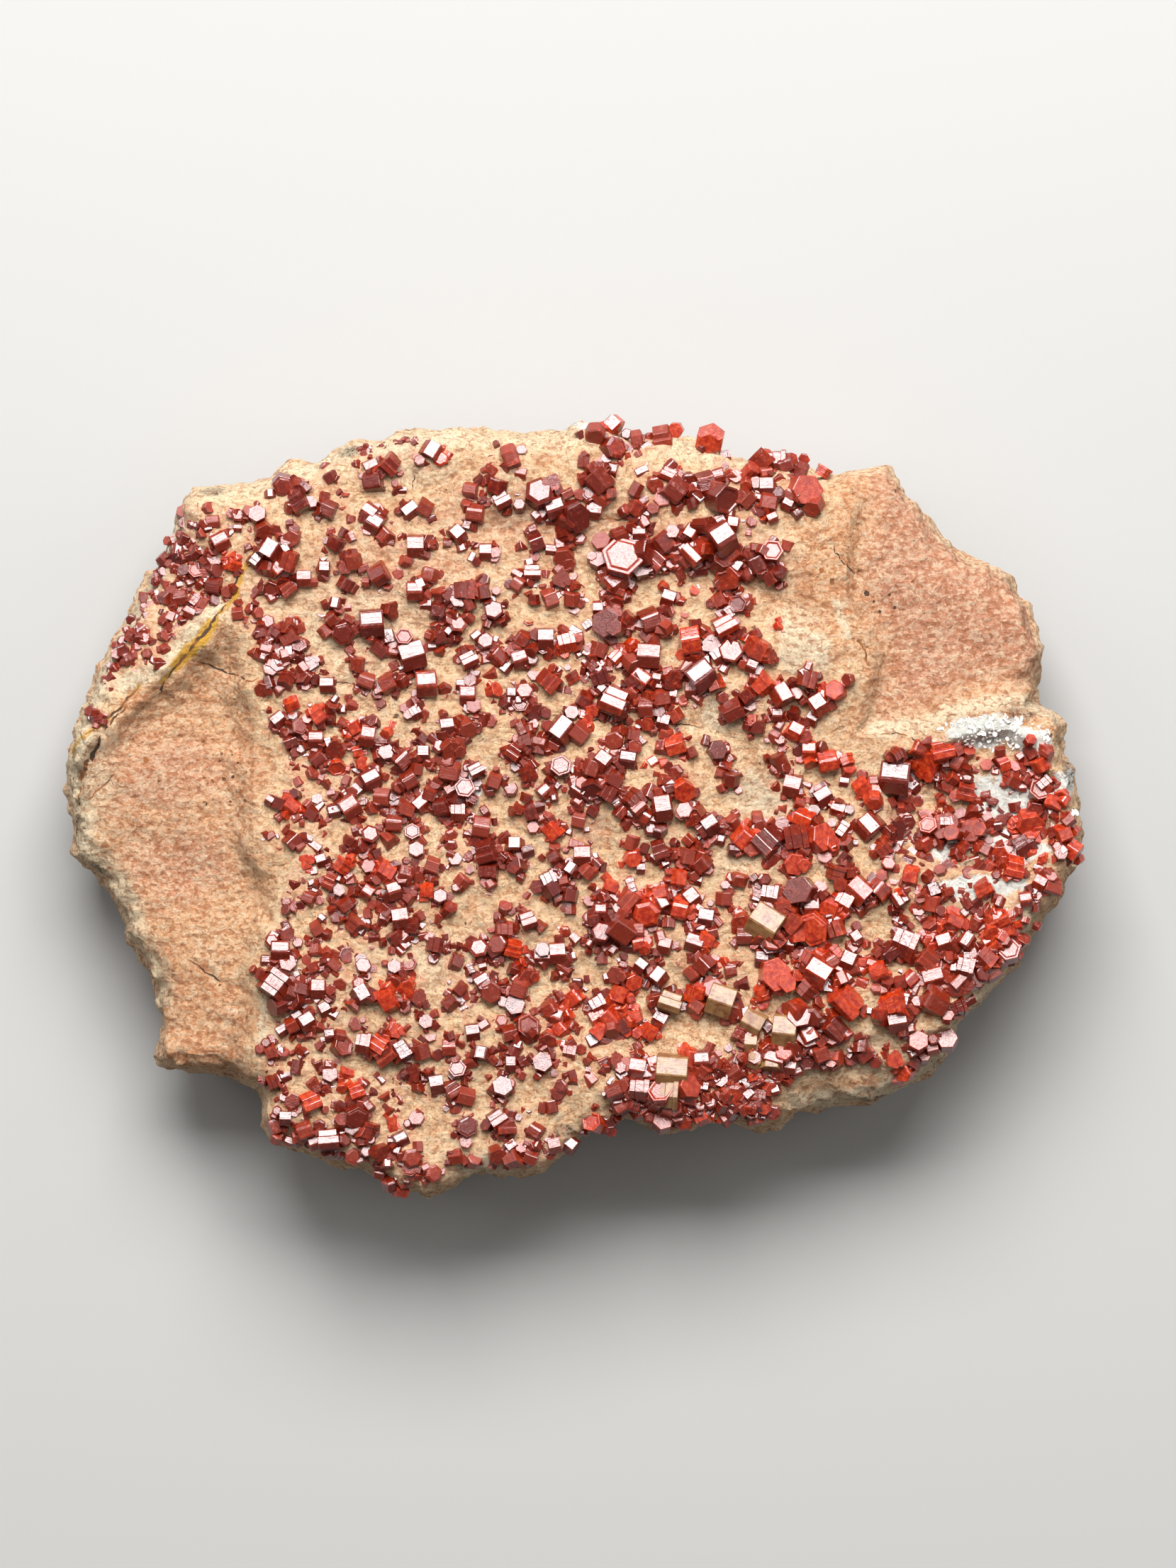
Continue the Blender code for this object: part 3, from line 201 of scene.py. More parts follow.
BRIGHT_CAPS = [  # an end face turned out: x, y, width across its corners
    (-46.5, 43, 2.8), (-49.3, 42.8, 2.1), (6.8, 36.8, 6.2), (28.6, 37.6, 3.4), (-5.3, 46.3, 4.6),
    (-27.7, 8.3, 2.6), (-30, -3.7, 2.8), (-23.9, -3.4, 2.5), (-23.3, -6, 2.4), (-19.8, -12.8, 2.4),
    (-14.2, -20.3, 3.0), (-2.2, 6.2, 3.2), (-7.5, 17.2, 2.6), (-0.6, 14, 2.3), (-31, -22.9, 2.6),
    (-26.5, -23.1, 2.3), (-42, -22.5, 2.8), (-35.9, -38.8, 2.6), (-21.9, -31.1, 2.3), (-17.3, -38, 2.8),
    (-10.7, -40.5, 3.2), (-23.3, -45.2, 2.4), (-4.9, -37, 3.2), (-8.9, -28.7, 3.2), (12.7, -45.5, 3.2),
    (50, -33.9, 3.2), (54.2, -33.6, 3.4), (63.2, -20.6, 3.6), (68, 2.8, 3.6), (22.6, 23, 3.8),
    (-12, 29, 3.0), (-17.2, 27, 2.8), (-13.2, 24.5, 2.6), (-16.2, 3, 3.2),
]
CAPS = [  # an end face that looks out at a slant
    (-45.4, 40.2, 2.7), (-41.6, 39.2, 2.6), (-52.3, 34.8, 2.7), (-42.7, 46.9, 3.2), (-33.9, 25.3, 3.4),
    (-44.6, 31.8, 2.7), (0.4, 42.2, 4.6), (4.2, 27, 4.6), (-1.8, 36.3, 3.2), (-2, 33.4, 3.0),
    (6.1, 52.6, 3.6), (22.1, 44.8, 4.6), (2.8, 54, 3.2), (19.4, 53.2, 4.2), (22, 33.4, 3.8),
    (23.5, 29.8, 2.8), (33.9, 46.4, 4.6), (-35.2, 8.3, 3.0), (-18, 8.2, 3.4), (-34.9, 5.7, 2.6),
    (-15.6, 11.2, 3.0), (-5.8, 13.9, 2.6), (5.5, 9.7, 3.0), (14.2, 18.3, 3.2), (2.2, 2.2, 3.4),
    (17, -1.3, 2.8), (20.8, 8.5, 3.0), (-9.2, -8.3, 3.0), (-6.8, 4.8, 2.8), (15.9, 2.2, 3.6),
    (8.4, -7.6, 3.0), (10.2, -15.7, 4.2), (-24.8, -26.5, 2.8), (-22.8, -27.8, 2.5), (-26.2, -32.5, 2.5),
    (-33.8, -34.6, 3.2), (-23.9, -38.8, 2.8), (-12.4, -27, 3.6), (-31.9, -45.4, 3.8), (-23.8, -51.2, 3.0),
    (-28.3, -50.6, 3.0), (-20.6, -53.4, 2.8), (-32.5, -51, 2.6), (-15.8, -46.5, 3.2), (-11.3, -51, 2.8),
    (-11.6, -19.9, 2.8), (-7, -24.9, 3.0), (-6.9, -31.8, 3.6), (-4.2, -34.2, 2.8), (4.5, -46.6, 3.0),
    (2.2, -45.8, 3.2), (5.7, -24.5, 2.8), (8.5, -25.6, 2.6), (6.1, -37, 2.6), (-1.9, -22.2, 2.8),
    (15.5, -45.9, 3.0), (32.2, -12, 4.6), (29.3, -24.3, 5.0), (34.4, -17.8, 5.2), (46.7, -36.9, 3.0),
    (47.6, -38.9, 3.2), (24, -16.8, 2.8), (32, -8.3, 3.4), (22.8, -42, 3.4), (37.6, 17.2, 3.4),
    (50.7, 6, 4.6), (46.8, -3.3, 3.6), (53.8, -2.6, 4.4), (57.8, -3.3, 3.8), (66.6, -2.8, 4.0),
    (51.5, -5.5, 2.8), (62, -7, 2.8), (60.8, -18.6, 2.8), (36.3, -4.2, 4.2), (-40.2, 12, 2.8),
]
SIDES = [  # lies on its side at a slant: x, y, width across corners, direction of the prism in degrees
    # upper left
    (-30.8, 42.3, 3.0, -20), (-29.3, 34.2, 3.8, 25), (-21.6, 34, 2.8, 75), (-20, 28.7, 3.2, -10),
    (-53.2, 32.2, 3.4, -5), (-36.5, 43.4, 3.0, -20), (-22, 43.5, 2.9, -30), (-27, 50, 3.2, -45),
    (-29.8, 47.6, 3.4, 10), (-42.2, 36.1, 3.0, 70), (-40.6, 44.8, 3.2, 30), (-35.5, 38.5, 2.9, 60),
    (-32.7, 35.5, 3.2, 100), (-28.7, 23, 2.8, -45), (-41.8, 24.8, 3.0, 30), (-35.6, 27.2, 2.8, 40),
    (-28.3, 39.8, 2.8, 45), (-36, 48, 2.5, -60), (-42, 32, 2.6, 40), (-57.8, 30.2, 2.6, 10),
    (-39.5, 18.8, 2.6, 55), (-32.2, 20.8, 2.6, 80), (-27.5, 18.2, 3.2, 25), (-30.8, 18.4, 2.8, -20),
    # upper right
    (-9.6, 50.9, 3.8, 20), (-14.9, 42.7, 3.4, -5), (-5.6, 38.5, 3.2, 20), (14.2, 46, 4.2, -40),
    (8.8, 43.5, 3.4, 55), (13.2, 38.8, 4.0, -50), (11.6, 36.4, 3.4, -40), (11.2, 27.2, 4.2, 20),
    (26.6, 22.8, 4.0, 65), (26.4, 35.4, 3.4, -65), (12.4, 54, 3.2, 15), (19.1, 47.3, 3.8, 15),
    (26.6, 50.4, 3.4, -45), (-15.9, 31.7, 3.2, 85), (-13.3, 31.5, 3.0, 100), (-1, 30.2, 2.8, 80),
    (3, 47, 4.2, -50), (-8.7, 32.5, 2.8, -30), (-3.6, 30.4, 3.2, 20), (-8, 24.6, 3.2, -35),
    (17, 23.6, 4.4, 10), (28.3, 44.6, 3.4, -10), (25.2, 44.8, 2.8, 50), (30.6, 50, 3.2, 20),
    (16.4, 36, 3.4, -50), (22.4, 36.8, 3.4, 40), (-12, 46.8, 3.0, 70), (6, 32.4, 3.4, -20),
    (28.2, 33.4, 3.0, -60), (-11, 22.2, 2.8, -40), (-19.8, 24.8, 2.8, 20), (8.8, 53.6, 2.8, 10),
    (-15.6, 46.5, 2.6, -10), (3.6, 22.9, 3.0, 70), (20.9, 30.2, 2.8, 30), (32.8, 49, 2.8, -20),
    # middle left
    (-43.5, 0.6, 2.8, 70), (-41.3, 0.4, 2.8, -35), (-28.6, 1.1, 3.0, 0), (-26.5, -2.6, 2.8, -5),
    (-24.9, 6.9, 3.2, 40), (-32.4, 11.6, 2.8, -60), (-37.8, 13.5, 2.8, 40), (-24, 3.8, 3.4, 30),
    (-18.5, 5, 3.8, -10), (-21.4, 1.8, 3.0, -20), (-20, -0.2, 3.4, 15), (-24.6, -0.3, 3.2, -20),
    (-41, -5, 2.8, 40), (-38.6, -1, 2.6, -30), (-27.5, -9.2, 3.0, -30), (-33.6, -8.9, 2.8, 60),
    (-36.2, -10.8, 2.6, -20), (-39.3, -13.2, 2.6, -20), (-25, -10.6, 3.4, -20), (-33.4, -14.3, 2.8, 30),
    (-32.6, -17.1, 3.0, 50), (-24.3, -17.6, 3.0, 0), (-26.1, -19.2, 2.8, -60), (-20.9, -20, 3.0, 80),
    (-13.4, -6.6, 3.8, 20), (-14, -3.4, 3.4, -10), (-12.8, -9.3, 3.2, 0), (-20.9, -8.6, 3.0, -20),
    (-37.8, -17.9, 2.6, 30), (-41.6, 9.4, 2.6, 20), (-37.6, 7, 2.6, 40), (-21.8, -12.3, 2.6, 0),
    # middle
    (-3.8, 18.4, 3.4, 50), (3.7, 19, 3.2, 20), (1.3, 15.4, 2.8, -30), (8.3, 18.4, 3.2, 35),
    (12.5, 15.9, 3.2, 10), (10.2, 14, 3.4, 5), (0.5, 10.6, 3.4, -40), (8.4, 10.6, 2.8, -10),
    (14.6, 8.6, 3.6, 20), (2.5, 5.8, 3.0, 70), (5.7, 4, 3.2, -30), (4.6, 2.2, 3.0, 60), (8.9, 1, 3.4, 40),
    (9.6, -1.4, 3.0, -30), (19.2, -3, 3.4, 35), (12.2, -6.2, 3.2, 20), (-7.4, 9.9, 3.2, 10),
    (-9, 8.1, 2.8, -30), (-11.8, 3.7, 2.8, -20), (-6.6, -1, 3.2, 20), (-3.7, -3.7, 3.0, -50),
    (-3.4, -7.1, 3.0, 30), (1.9, -9.6, 3.2, 50), (-3.2, -11.8, 3.4, -60), (-0.8, -12.8, 2.8, 80),
    (7.5, -13.5, 3.4, 50), (12.2, -12.4, 3.0, 10), (15, -15.1, 4.0, -10), (16.6, -7.2, 3.0, 80),
    (15.4, -10.3, 3.2, 80), (18.3, -8.5, 3.4, -50), (6.7, -18.3, 4.8, -40), (19, -19.4, 3.4, -20),
    (14.3, 13.3, 2.8, -60), (0.2, -2.1, 2.8, -10), (5.3, -11.5, 2.8, -20), (2.7, -16.5, 2.8, 10),
    (-10.4, -17.7, 2.8, 0),
    # lower left
    (-39.8, -26.4, 3.0, -10), (-27.5, -28.4, 3.8, 30), (-12, -20.9, 3.0, 30), (-17.1, -22.4, 3.0, -20),
    (-28, -36.2, 3.4, 40), (-29, -34.4, 3.0, -30), (-22, -35.6, 3.0, -70), (-32.1, -41.3, 2.8, 20),
    (-38.6, -42.9, 3.0, 20), (-39.6, -47.4, 2.8, 20), (-18, -41, 2.8, 30), (-16, -42.6, 3.0, -20),
    (-41.3, -32, 2.8, 30), (-16.8, -26.6, 2.8, -40), (-18.7, -28.4, 2.8, 45), (-18.4, -35.5, 2.8, 0),
    (-38.4, -23.4, 2.6, -60), (-35.2, -22.9, 2.6, -40), (-44.4, -35.8, 2.6, 20), (-44, -40.2, 2.6, 20),
    # lower middle
    (-8.3, -26.7, 3.8, -20), (-0.4, -27.8, 2.8, -50), (-4.2, -29.6, 3.0, 30), (-2.4, -32.2, 2.8, 40),
    (4.9, -31, 3.6, -50), (6.8, -31.9, 3.0, -60), (8.7, -30.6, 3.2, -70), (9.2, -20, 3.0, 10),
    (6.5, -27.4, 3.2, 70), (18.3, -23.2, 3.4, -40), (17.6, -27.4, 3.0, 80), (16.6, -42.5, 3.2, -10),
    (8.7, -43.5, 2.8, 70), (6.2, -43.4, 2.8, -60), (5.4, -41.3, 2.8, 20), (-6.2, -47.3, 3.0, -30),
    (-10, -46.4, 3.2, 0), (11, -33, 2.8, 60), (22.6, -23.8, 2.8, 10), (18.2, -38.8, 2.8, 50),
    (13.4, -44, 3.0, -20), (18, -45, 2.8, 30), (-6.8, -51.3, 3.0, -20), (-9.6, -51, 2.8, 20),
    (-9, -20.8, 2.8, -20), (-9.4, -33.2, 2.8, 10), (23.4, -39.2, 2.8, 40), (24.8, -44, 2.8, 30),
    # lower right
    (22, -13.4, 2.8, 90), (23.8, -10.9, 2.8, 80), (38.3, -9.6, 3.2, 75), (36.8, -14.9, 3.4, -20),
    (39.8, -28.3, 4.4, -45), (45.9, -28.8, 4.2, 15), (43.9, -23.9, 3.4, 20), (46, -21.4, 3.4, 40),
    (38, -32, 3.4, -40), (35.8, -36.1, 3.6, 20), (42.4, -36.2, 3.0, 30), (44.8, -12.2, 3.6, 45),
    (48.6, -10, 3.4, -10), (52, -14, 3.2, 80), (24.6, -19.2, 3.0, 0), (37.6, -22.4, 2.8, 30),
    (27, -27.4, 3.0, 20), (51.6, -22.2, 3.2, -40), (52.6, -28.7, 4.4, -30), (56, -29, 3.2, 20),
    (49.2, -25, 2.8, 40), (56.8, -25.4, 2.8, 0), (55.4, -16.4, 3.2, -25), (62.3, -16.7, 3.0, 30),
    (60.3, -21.8, 3.6, -40), (61, -24, 3.0, 30), (64, -8.8, 3.2, -15), (59.2, -11.8, 3.0, 30),
    (71.6, -3.8, 3.2, 20), (72.2, -6.6, 3.2, -30), (66, -6.2, 3.8, 30), (69.8, -11.3, 2.8, -20),
    (33.4, -21.8, 2.6, 60), (31, -34.8, 3.2, -30),
    # right
    (36.9, 6.2, 3.6, 10), (30, 6.6, 3.0, -60), (33.9, 18.8, 2.8, 75), (26.6, 11.7, 3.0, 85),
    (23, 13.6, 3.8, 30), (27, 18, 3.4, 40), (24.9, 16.2, 3.2, -50), (53.4, 8.6, 3.6, 10),
    (55.6, 6.6, 2.8, 60), (66.5, 8.2, 2.8, -60), (68.3, 6.2, 3.4, -60), (57, 2.2, 3.2, -15),
    (42, 2.6, 3.0, 40), (48, 1.6, 2.8, -20), (31.8, 11, 3.0, -40), (22.4, 3.8, 2.8, 80),
    (27.8, -4.8, 4.4, -40), (32.3, -4.8, 4.6, 10), (33, -1.9, 3.2, -20), (24.4, -4.6, 3.4, 50),
    (45, -6.3, 2.8, 40), (70.4, 0.6, 3.0, 60), (64.2, 3.6, 2.8, -30), (62.9, 6, 2.6, 20),
]

# Smaller crystals between the larger ones: x, y, width across corners
SMALL = [
    # upper left
    (-39, 46.8, 2), (-37.8, 46.9, 1.6), (-33.6, 46, 1.6), (-25.8, 46, 1.8), (-19.7, 51, 2.4),
    (-25.2, 42.8, 2), (-19.4, 43, 1.3), (-34.2, 33, 2.4), (-27.5, 32.5, 1.8), (-47, 31.5, 2.2),
    (-26.5, 20.7, 2.2), (-25, 19.5, 2.2), (-19, 17, 2.2), (-40.9, 27.1, 1.6), (-44, 25.3, 2.2),
    (-38.5, 21.3, 2.4), (-43.5, 21, 2.4), (-41.5, 22.5, 2.4), (-43.5, 17.8, 2.4), (-41.8, 15.7, 2.4),
    (-31, 19.5, 1.6), (-33, 23, 2), (-49.5, 29, 2.4), (-48, 29.3, 2), (-47, 27.5, 1.4), (-45, 27.3, 2),
    (-48.6, 27.5, 1.8), (-51, 31.5, 2), (-56, 42, 1.8), (-57.5, 43.5, 2.2), (-54.3, 43.3, 2),
    (-53, 42.3, 2.4), (-55.5, 34.8, 2.4), (-54.5, 29.8, 2.4), (-50, 36.5, 2), (-48, 38.5, 1.8),
    (-47.3, 36.2, 2), (-49.5, 35, 2.4), (-68.5, 19, 2), (-67.8, 20.2, 1.6), (-66.5, 23.5, 1.8),
    (-71.3, 14.3, 2), (-70, 13, 1.8), (-68.8, 12.5, 1.4),
    # upper right
    (-12.4, 49.3, 2.4), (-13.7, 47.6, 1.8), (-8.5, 46.2, 1.4), (-10.5, 43.5, 1.8), (-4.7, 43.5, 2.4),
    (1.5, 50.5, 2), (3, 49.7, 2), (4.9, 55.5, 2.4), (9.2, 54.1, 2.4), (14.5, 55.2, 2.4), (9.5, 49.3, 2),
    (13.4, 50.5, 2), (8.4, 45.3, 1.6), (21.8, 51.8, 2.4), (25.7, 48.5, 2.6), (31.8, 51, 2.2),
    (33.4, 51, 1.6), (36, 49.4, 2.2), (23.4, 48.5, 2.2), (25.7, 41.8, 1.8), (-2.4, 38.9, 2.4),
    (-6.6, 33.3, 2), (-4.3, 32.8, 1.1), (11.5, 40.8, 2), (15.1, 33.3, 1.4), (17.4, 31.8, 1.6),
    (15.9, 28.3, 1.4), (25.5, 29.4, 2), (20.7, 25.8, 2.4), (29.1, 26.6, 1.8), (-4.7, 23.5, 2.4),
    (-1.6, 23.2, 2.6), (-13, 22, 2.2), (1.8, 23.2, 2.4), (5.7, 22.4, 2.4), (7.8, 22.8, 2.4),
    (12.4, 20.5, 1.8), (7.4, 20.8, 1.4), (13.8, 18.9, 2.4), (-3.2, 18.9, 2.4), (0.1, 19.3, 2.4),
    # right
    (37, 1, 2), (38.7, -0.3, 1.6), (29.9, -0.1, 1.4), (29.2, 11, 2.4), (40, 6, 2.4), (43.9, 3.5, 1.2),
    (57.5, 8.5, 2), (56.5, 5.3, 1.2), (63.3, 5.6, 2.2), (34.9, -1.5, 2.4), (22.7, -2.3, 2.4),
    (44, -4.2, 1.4), (50.2, -7.2, 1.2), (48, -7.5, 1), (67.7, -8.3, 1.2), (58.7, -10.3, 1.4),
    (67.3, -12.7, 1.6), (73.2, -7.7, 1.6), (64.3, -3, 2), (70.7, 3.3, 1.6), (70.7, -2.3, 1.2),
    (58.5, 3.2, 1.2), (58.7, 0.3, 2.2), (55.7, 0.8, 1), (61, 1.3, 2.2), (62.3, -0.2, 1.4), (46.3, 2.7, 1.2),
    (51.3, -1.2, 2.4), (55, -20.3, 1.6), (57.7, -21.3, 1.4), (63.7, -18, 2.4), (62, -16, 2.4),
    (64, -17.3, 1.4), (51.3, -18.7, 2.4), (56.2, -16.7, 2), (58.3, -27.7, 1), (55.6, -29.8, 2.4),
    (54.7, -26, 2.4), (64.8, -21.4, 1.6), (67.4, -17, 1.4),
    # middle left
    (-42.9, 11.7, 1.6), (-45, 11.5, 1), (-35.7, 13.9, 2.2), (-32.7, 14.5, 2), (-34, 14.5, 1.4),
    (-34, 12.5, 2), (-29.9, 12.7, 1.2), (-26.7, 12, 1.6), (-28.6, 15.3, 1.6), (-31, 10.2, 1),
    (-40.4, 10.8, 1.6), (-39.3, 10.8, 1.8), (-39.5, 8, 1.6), (-40.7, 7.2, 1.5), (-41.5, 6.1, 1.4),
    (-40.4, 6, 1.6), (-31.9, 8, 2.2), (-29, 8.4, 2.2), (-23.4, 10.9, 1.4), (-22.3, 10.2, 2.2),
    (-20.8, 9.9, 2), (-22.1, 6.3, 2.2), (-19.1, 9.4, 2), (-12.9, 12.8, 2.2), (-15.8, 6, 1.4), (-31, 6.5, 2),
    (-32, 5.5, 1.6), (-38.1, 5.3, 2.2), (-33.6, 4.1, 1.8), (-31.7, 3.6, 2), (-34, 2.8, 1.4),
    (-40.1, 4.1, 1.8), (-39.5, 2.8, 1.2), (-36.8, 3.2, 1.6), (-20.5, 3.6, 2.2), (-35.4, 1.9, 2),
    (-37.8, 1.4, 1.8), (-39.5, 1.4, 1), (-32, -1, 1.6), (-30.5, 0.9, 1.4), (-27.5, -0.3, 2),
    (-25.4, 0.4, 1.8), (-17.8, -1.3, 1.4), (-19.4, -1.9, 1.2), (-16.1, -0.8, 1.8), (-40.3, -2.4, 1.4),
    (-36.6, -2.1, 1.8), (-37.1, -3.8, 1.6), (-42, -3.7, 1.6), (-44.6, -4, 1.6), (-39, -4.2, 2.2),
    (-38.1, -5.4, 2.2), (-40, -5.9, 1.6), (-39.5, -7.9, 2.4), (-38.3, -9.1, 2), (-32.3, -3.1, 1.8),
    (-33, -5.1, 2.2), (-30.9, -5.4, 2.4), (-32.7, -6.7, 1.4), (-31, -6.7, 1.8), (-29, -6.7, 2),
    (-26.7, -5.2, 2.4), (-19.7, -5.9, 1.2), (-18.3, -5.7, 2), (-18.1, -4.2, 2), (-17.6, -7.4, 2.2),
    (-15.7, -7.1, 2), (-31.6, -8.4, 1.4), (-30.3, -8.4, 2.2), (-33, -10.3, 2), (-29.7, -10.4, 1.6),
    (-25.3, -11.3, 1.6), (-24.2, -12.3, 2.4), (-28.3, -12.6, 2), (-38.8, -10.4, 1.8), (-38.1, -11.8, 1.8),
    (-40.7, -11.5, 2), (-42.3, -13.6, 1.8), (-41, -14.2, 2.2), (-35.6, -12.7, 2.2), (-34.4, -13, 1.6),
    (-17.2, -10.6, 2.4), (-19.1, -15.4, 2.4), (-20.5, -16.2, 1.6), (-34.9, -15.7, 2.4), (-30.5, -15.4, 2),
    (-28.4, -14.9, 2.2), (-24.5, -15.4, 1.4), (-28.9, -17.5, 2), (-30.6, -18.7, 1.2), (-29.3, -19.3, 2),
    (-42, -18.4, 2.4), (-12.4, -17.6, 1.6), (-12.5, -11.6, 1.4),
    # middle
    (-12.5, 19.2, 2.2), (-12.9, 16.9, 2.4), (-10.6, 15.8, 2.4), (-8.1, 15.1, 2.4), (-12.5, 12.7, 1.8),
    (-9.2, 12.3, 2), (-1.1, 17.2, 2), (1.7, 18.6, 1.2), (3, 17.2, 2.2), (3.5, 15.1, 2.2), (5.8, 14.1, 2),
    (1.7, 12.9, 2), (17.8, 16.4, 2.4), (-5.1, 9.7, 2), (-4.2, 8.7, 1.6), (-9.7, 7.7, 1.8), (-8.9, 6, 1.8),
    (-9.5, 2.9, 2.2), (0.4, 6, 2.2), (-3.4, 4.4, 1.8), (-2.9, 2.6, 2), (-0.6, 2.1, 1.8), (-4.2, 0.4, 1.4),
    (-6, -0.4, 2), (-0.6, -0.1, 1.6), (2.8, 0, 2), (6.3, 1, 2.2), (8.4, -0.5, 2.2), (11.2, 6.9, 2.2),
    (12.8, 6.7, 2.2), (14.3, 5.1, 2.4), (18.6, -2.3, 2.2), (21.4, -3.1, 2.2), (12.2, -2.6, 2.4),
    (7.8, -2.6, 2.2), (-1.9, -2.6, 2), (-5, -2.6, 1.8), (-5.7, -11.5, 2.4), (-7.3, -12.6, 1.6),
    (-2.9, -14.1, 1.2), (-10.2, -14.1, 2.4), (-7.4, -14.9, 1.6), (-1.6, -18.3, 1.8), (4, -11.9, 2),
    (3.1, -12.6, 2), (8.1, -11.3, 2.2), (1.9, -13.6, 1.8), (5.3, -13.6, 2), (9.6, -13.1, 2.4),
    (8.7, -5.4, 2.4), (14.8, -14.6, 2.4), (1.9, -15.9, 2), (1.4, -17.2, 1.4), (3.2, -17.9, 1.8),
    (1.2, -19.5, 1.4), (-0.1, -19, 2), (10, -19.4, 2.4), (14.3, -19.8, 1.8),
    # lower left
    (-40.6, -19.6, 1.8), (-38.2, -20.2, 2.4), (-37.3, -22.3, 1.4), (-36.5, -23.4, 2), (-34.7, -21.4, 1.2),
    (-33.3, -21.5, 2.2), (-24.4, -22.7, 2.4), (-25.8, -20.4, 2.4), (-22.3, -25, 1.1), (-14.6, -21.9, 1.6),
    (-11, -22, 2.2), (-44.2, -26.6, 2), (-40.8, -24.1, 1.6), (-34.5, -25.9, 2.2), (-32.5, -25, 1.8),
    (-32.8, -28, 2.4), (-42.3, -29, 2), (-43.5, -28.1, 1.4), (-35.6, -29.8, 2), (-42.7, -32, 2.2),
    (-38.2, -32.8, 1.8), (-32, -31.5, 2), (-27.7, -26.9, 2.2), (-25, -29, 2.2), (-14.5, -28, 1.6),
    (-16.5, -29, 1.8), (-24.3, -32.4, 1.6), (-21.2, -33.3, 2), (-18, -33.6, 1.8), (-36.9, -35.1, 1.8),
    (-40, -35, 1.6), (-30.6, -36, 2.4), (-23.1, -35.2, 2.2), (-11.1, -35.2, 2), (-45.2, -35.6, 1.6),
    (-42.7, -35.5, 2), (-44.6, -37.1, 1.4), (-41, -37.7, 2.4), (-37.5, -37.9, 2), (-33.6, -39.3, 2),
    (-28.5, -39.5, 1.6), (-26, -39.4, 1.4), (-42.2, -39.7, 1.8), (-38.4, -40.6, 2.4), (-36.3, -41.4, 1.8),
    (-42.7, -42.2, 1.6), (-41.4, -42.8, 2.2), (-35.1, -43.3, 2.2), (-41.1, -44.5, 1.4), (-29.3, -41.4, 1.8),
    (-27.5, -42.6, 2), (-26, -42.5, 1.6), (-17.2, -43.8, 2.4), (-22.3, -42.1, 1.4), (-10.3, -38.8, 1.5),
    (-26.9, -44.6, 1.6), (-26.9, -46, 2), (-25.6, -46.3, 1.2), (-34.1, -45.5, 1.6), (-32.2, -46.5, 2.2),
    (-29.3, -47.3, 2.4), (-31, -48.7, 2), (-41.9, -48.6, 1.6), (-43.6, -47.8, 1.8), (-44, -46.4, 2.4),
    (-34.9, -50.2, 1.8), (-24.2, -52.7, 2.4), (-27.4, -54.4, 2.4), (-25.2, -54.9, 2.4), (-25.4, -55.6, 2),
    (-28.6, -53, 2.2), (-19.6, -53, 1.2), (-17.6, -51.4, 2.4), (-14.7, -51.1, 2.4),
    # lower middle
    (-6.4, -21.8, 2.2), (-2.1, -24, 2.4), (4.3, -22, 1.8), (6.2, -22, 1.2), (7.7, -20.8, 2.2),
    (20.4, -21.2, 1.2), (15.2, -22.5, 1.2), (22.4, -23.4, 2.4), (-13.5, -24.7, 1.4), (-2.3, -27.2, 2.2),
    (-0.8, -28.9, 2.2), (0.1, -25.6, 2.4), (1.8, -28.9, 1.4), (11.8, -26.4, 2), (-10.8, -31, 2),
    (-2.3, -33, 2), (0, -32, 2.2), (-6.4, -34.2, 2), (2.3, -33.7, 2.4), (4.5, -34, 2.2), (9.1, -32.8, 2.4),
    (8.9, -34.7, 2), (-9.5, -35, 2.4), (-11.2, -37.3, 1.2), (-7.9, -36.9, 2), (-7.8, -39.1, 1.8),
    (-2.6, -37.4, 2), (2.6, -36.2, 2), (4.3, -37.1, 2.2), (6.7, -38.8, 2.2), (-0.4, -39.1, 2.2),
    (2.3, -39.3, 2.2), (6.7, -40.6, 2.2), (16.2, -35.7, 2.4), (20.7, -36.7, 1), (22.3, -35, 1.4),
    (8.9, -44.2, 2), (-2.3, -40.6, 2.4), (-2.6, -41.8, 2.2), (-3.5, -43.7, 2.4), (-7.5, -44.5, 1.4),
    (-9.6, -44.9, 2.4), (-1.2, -47.6, 1), (7.2, -44.6, 2.2), (-4, -50.4, 2.4),
    # lower right
    (36.6, -19.5, 1.8), (38, -14.2, 2.8), (49, -12.2, 1.2), (41.9, -19.4, 1), (23.9, -19.2, 2),
    (36.6, -20.7, 2.4), (40, -25.5, 1.8), (42.2, -29.7, 2), (52.4, -22.6, 2.4), (33.7, -37.3, 2.4),
    (27.5, -38.4, 1), (27.5, -43.8, 2.4), (25.3, -42.7, 2.4), (20.5, -45.2, 2), (25.8, -45.4, 2.4),
    (40.8, -34.5, 2.4), (41.1, -35.3, 1.8), (26.7, -27.7, 1.8), (35.7, -28.3, 2),
]

